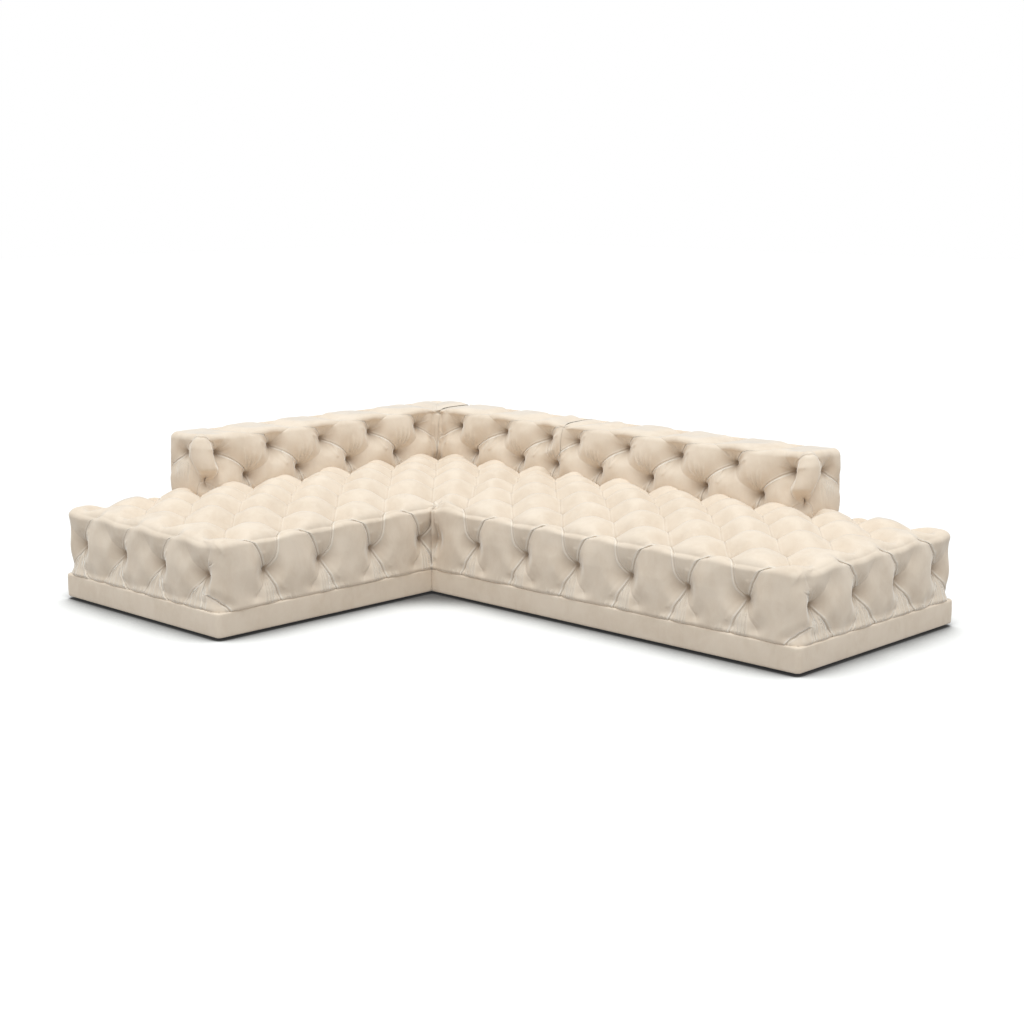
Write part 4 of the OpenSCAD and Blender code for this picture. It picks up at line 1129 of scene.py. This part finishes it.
def hollow_out(made, low, high):
    """Cuts a plain block out of a closed cover, where the frame and the foam are."""
    cutter = bpy.data.objects.new("cutter", bpy.data.meshes.new("cutter"))
    mesh = bmesh.new()
    bmesh.ops.create_cube(mesh, size=1)
    for vertex in mesh.verts:
        vertex.co = [low[k] + (vertex.co[k] + 0.5) * (high[k] - low[k]) for k in range(3)]
    mesh.to_mesh(cutter.data)
    mesh.free()
    bpy.context.scene.collection.objects.link(cutter)
    cut = made.modifiers.new("hollow", "BOOLEAN")
    cut.operation = "DIFFERENCE"
    cut.solver = "MANIFOLD"
    cut.object = cutter
    evaluated = made.evaluated_get(bpy.context.evaluated_depsgraph_get())
    solid = bpy.data.meshes.new_from_object(evaluated)
    made.modifiers.clear()
    made.data = solid
    bpy.data.objects.remove(cutter)


def back_cover(name, back, pads, pleats, tufts, rolls):
    """Makes one back cover, hollow over its frame. Its foot is closed first: an open cover can't be cut hollow."""
    points, faces = box_skin(back.size, 0, cloth_step)
    base, normal = back.base(points)
    base = back.place(base)
    normal = back.place(normal) - back.place(np.zeros((1, 3)))
    length_way = (back.place(np.eye(3)[:1]) - back.place(np.zeros((1, 3))))[0]
    upward, outward = np.clip(normal[:, 2], 0, 1), np.abs(normal @ length_way)
    drawn, marks = tuft(base, normal, pleats, tufts, 0.038 - 0.008 * upward - 0.010 * outward,
                        0.043 * (1 - np.maximum(upward, outward * 0.55)), rolls)
    drawn += normal * drift(base, 0.0018, 0.13, 21)[:, None]
    moved = drawn - base
    held = (points[:, 1] == back.size[1]).astype(float)
    along = back.place(np.array([[1.0, 0, 0]])) - back.place(np.zeros((1, 3)))
    for end in (0, 1):
        if not back.free[end]:
            flush = (points[:, 0] == (0, back.size[0])[end])[:, None]
            moved -= flush * (moved @ along[0])[:, None] * along
            held = np.maximum(held, flush[:, 0] * (1 - smooth_step((points[:, 2] - back_slab_top) / 0.02))
                              * smooth_step((points[:, 1] - 0.02) / 0.03))
    past = points[:, 0] - back.face[1]
    if back.face[1] < back.size[0]:
        held = np.maximum(held, smooth_step(past / 0.03) * (points[:, 1] < 0.1) * (points[:, 2] < back_slab_top))
    drawn = base + moved * (1 - held)[:, None]
    drawn[:, 2] = np.where(points[:, 2] <= 0, back_foot, np.maximum(drawn[:, 2], back_foot))
    made = piece(name.replace("cover", "velvet"), drawn, faces, velvet_tufted, "velvet_tufted")
    mark_cover(made, marks, 1 - held)
    mesh = bmesh.new()
    mesh.from_mesh(made.data)
    bmesh.ops.holes_fill(mesh, edges=[e for e in mesh.edges if e.is_boundary], sides=0)
    bmesh.ops.recalc_face_normals(mesh, faces=mesh.faces)
    mesh.to_mesh(made.data)
    mesh.free()
    corners = back.place(np.array([[pads[0], back_front_pad, -0.05],
                                   [back.size[0] - pads[1], back_thickness + 0.05, back_slab_top]]))
    hollow_out(made, corners.min(0), corners.max(0))
    made.data.set_sharp_from_angle(angle=sharp_fold)
    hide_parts(name)
    return made


def every(first, last, count):
    return [first + (last - first) * k / (count - 1) for k in range(count)]


chaise_back_length = chaise_length - open_end
corner_back_length = wing_depth - back_thickness
bench_back_length = bench_length - open_end
chaise_face = chaise_back_length - back_thickness
half = (chaise_face - 212 * mm) / 8
chaise_back = Back(in_chaise_back, chaise_back_length, (0, chaise_face),
                   every(106 * mm, chaise_face - 106 * mm, 5),
                   every(106 * mm + half, chaise_face - 106 * mm - half, 4),
                   (True, False), (back_round, rear_round), -1)
corner_back = Back(in_corner_back, corner_back_length, (0, corner_back_length), [], [],
                   (False, False), (0, 0), 1)
bench_back = Back(in_bench_back, bench_back_length, (0, bench_back_length), [], [],
                  (False, True), (0, back_round), 1)
rear_length = corner_back_length + bench_back_length
first, last = corner_back_length + 69 * mm, rear_length - 100 * mm
half = (last - first) / 8
rear_back = Back(in_corner_back, rear_length, (0, rear_length),
                 [130 * mm, 436 * mm, 726 * mm] + every(first, last, 5),
                 [254 * mm, 559 * mm, 780 * mm] + every(first + half, last - half, 4),
                 (False, True), (0, back_round), 1)
chaise_network = back_network(chaise_back, random.Random(21))
rear_network = back_network(rear_back, random.Random(22))
back_folds = [chaise + rear for chaise, rear in zip(chaise_network, rear_network)]
back_cover("chaise_back_cover", chaise_back, (frame_end_pad, frame_end_pad), *back_folds)
back_cover("corner_back_cover", corner_back, (frame_joint_pad, frame_joint_pad), *back_folds)
back_cover("bench_back_cover", bench_back, (frame_joint_pad, frame_end_pad), *back_folds)
dress(velvet_plain, "chaise_back_outer_panel", "corner_back_outer_panel", "bench_back_outer_panel")


# Room:
# A plain pale floor that keeps the sofa's shadow, with a contact shadow also painted darker into its colour near the
# sofa, soft light from above, and the photograph's camera.

floor_mesh = bpy.data.meshes.new("floor")
floor_mesh.from_pydata([(-30, -30, 0), (30, -30, 0), (30, 30, 0), (-30, 30, 0)], [], [(0, 1, 2, 3)])
floor = bpy.data.objects.new("floor", floor_mesh)
bpy.context.scene.collection.objects.link(floor)
floor_paint = Finish("floor_paint", Roughness=1.0, Specular_IOR_Level=0.0, Emission_Strength=1.0)
seen = floor_paint.seen()
# Painted shadow: near the sofa the floor's colour is darkened by how much nearby geometry hides it.
shadow_occlusion = floor_paint.add("ShaderNodeAmbientOcclusion", {"samples": 16}, {"Distance": 0.30}, "AO")
painted_floor_shadow = floor_paint.blend(floor_paint.spread(shadow_occlusion, 0.38, 0.86), (0.13, 0.126, 0.123), (0.90, 0.90, 0.90))
floor_mesh.materials.append(floor_paint.finished(
    Base_Color=floor_paint.blend(seen, (0.42, 0.415, 0.41), painted_floor_shadow),
    Emission_Color=floor_paint.blend(seen, (0, 0, 0), (0.02, 0.02, 0.02))))

bpy.context.scene.world = bpy.data.worlds.new("studio")
studio = Finish("studio", bpy.context.scene.world, Color=(1, 1, 1))
studio.finished(Strength=studio.seen() * 0.30 + 0.70)

overhead = bpy.data.lights.new("overhead_light", "SUN")
overhead.energy = 1.80
overhead.color = (0.945, 0.995, 1.0)
overhead.angle = math.radians(40)
lamp = bpy.data.objects.new("overhead_light", overhead)
lamp.rotation_euler = (math.radians(11), math.radians(9), 0)
bpy.context.scene.collection.objects.link(lamp)

lens = bpy.data.cameras.new("camera")
lens.sensor_width = 36
focal_pixels, picture_width = 1797.53, 1024
lens.lens = focal_pixels * 36 / picture_width
camera = bpy.data.objects.new("camera", lens)
bpy.context.scene.collection.objects.link(camera)
camera.location = (5.132, -5.227, 1.795)
camera.rotation_euler = (math.radians(90) - 0.185, 0, 0.767)
bpy.context.scene.camera = camera

bpy.context.scene.view_settings.view_transform = "Standard"
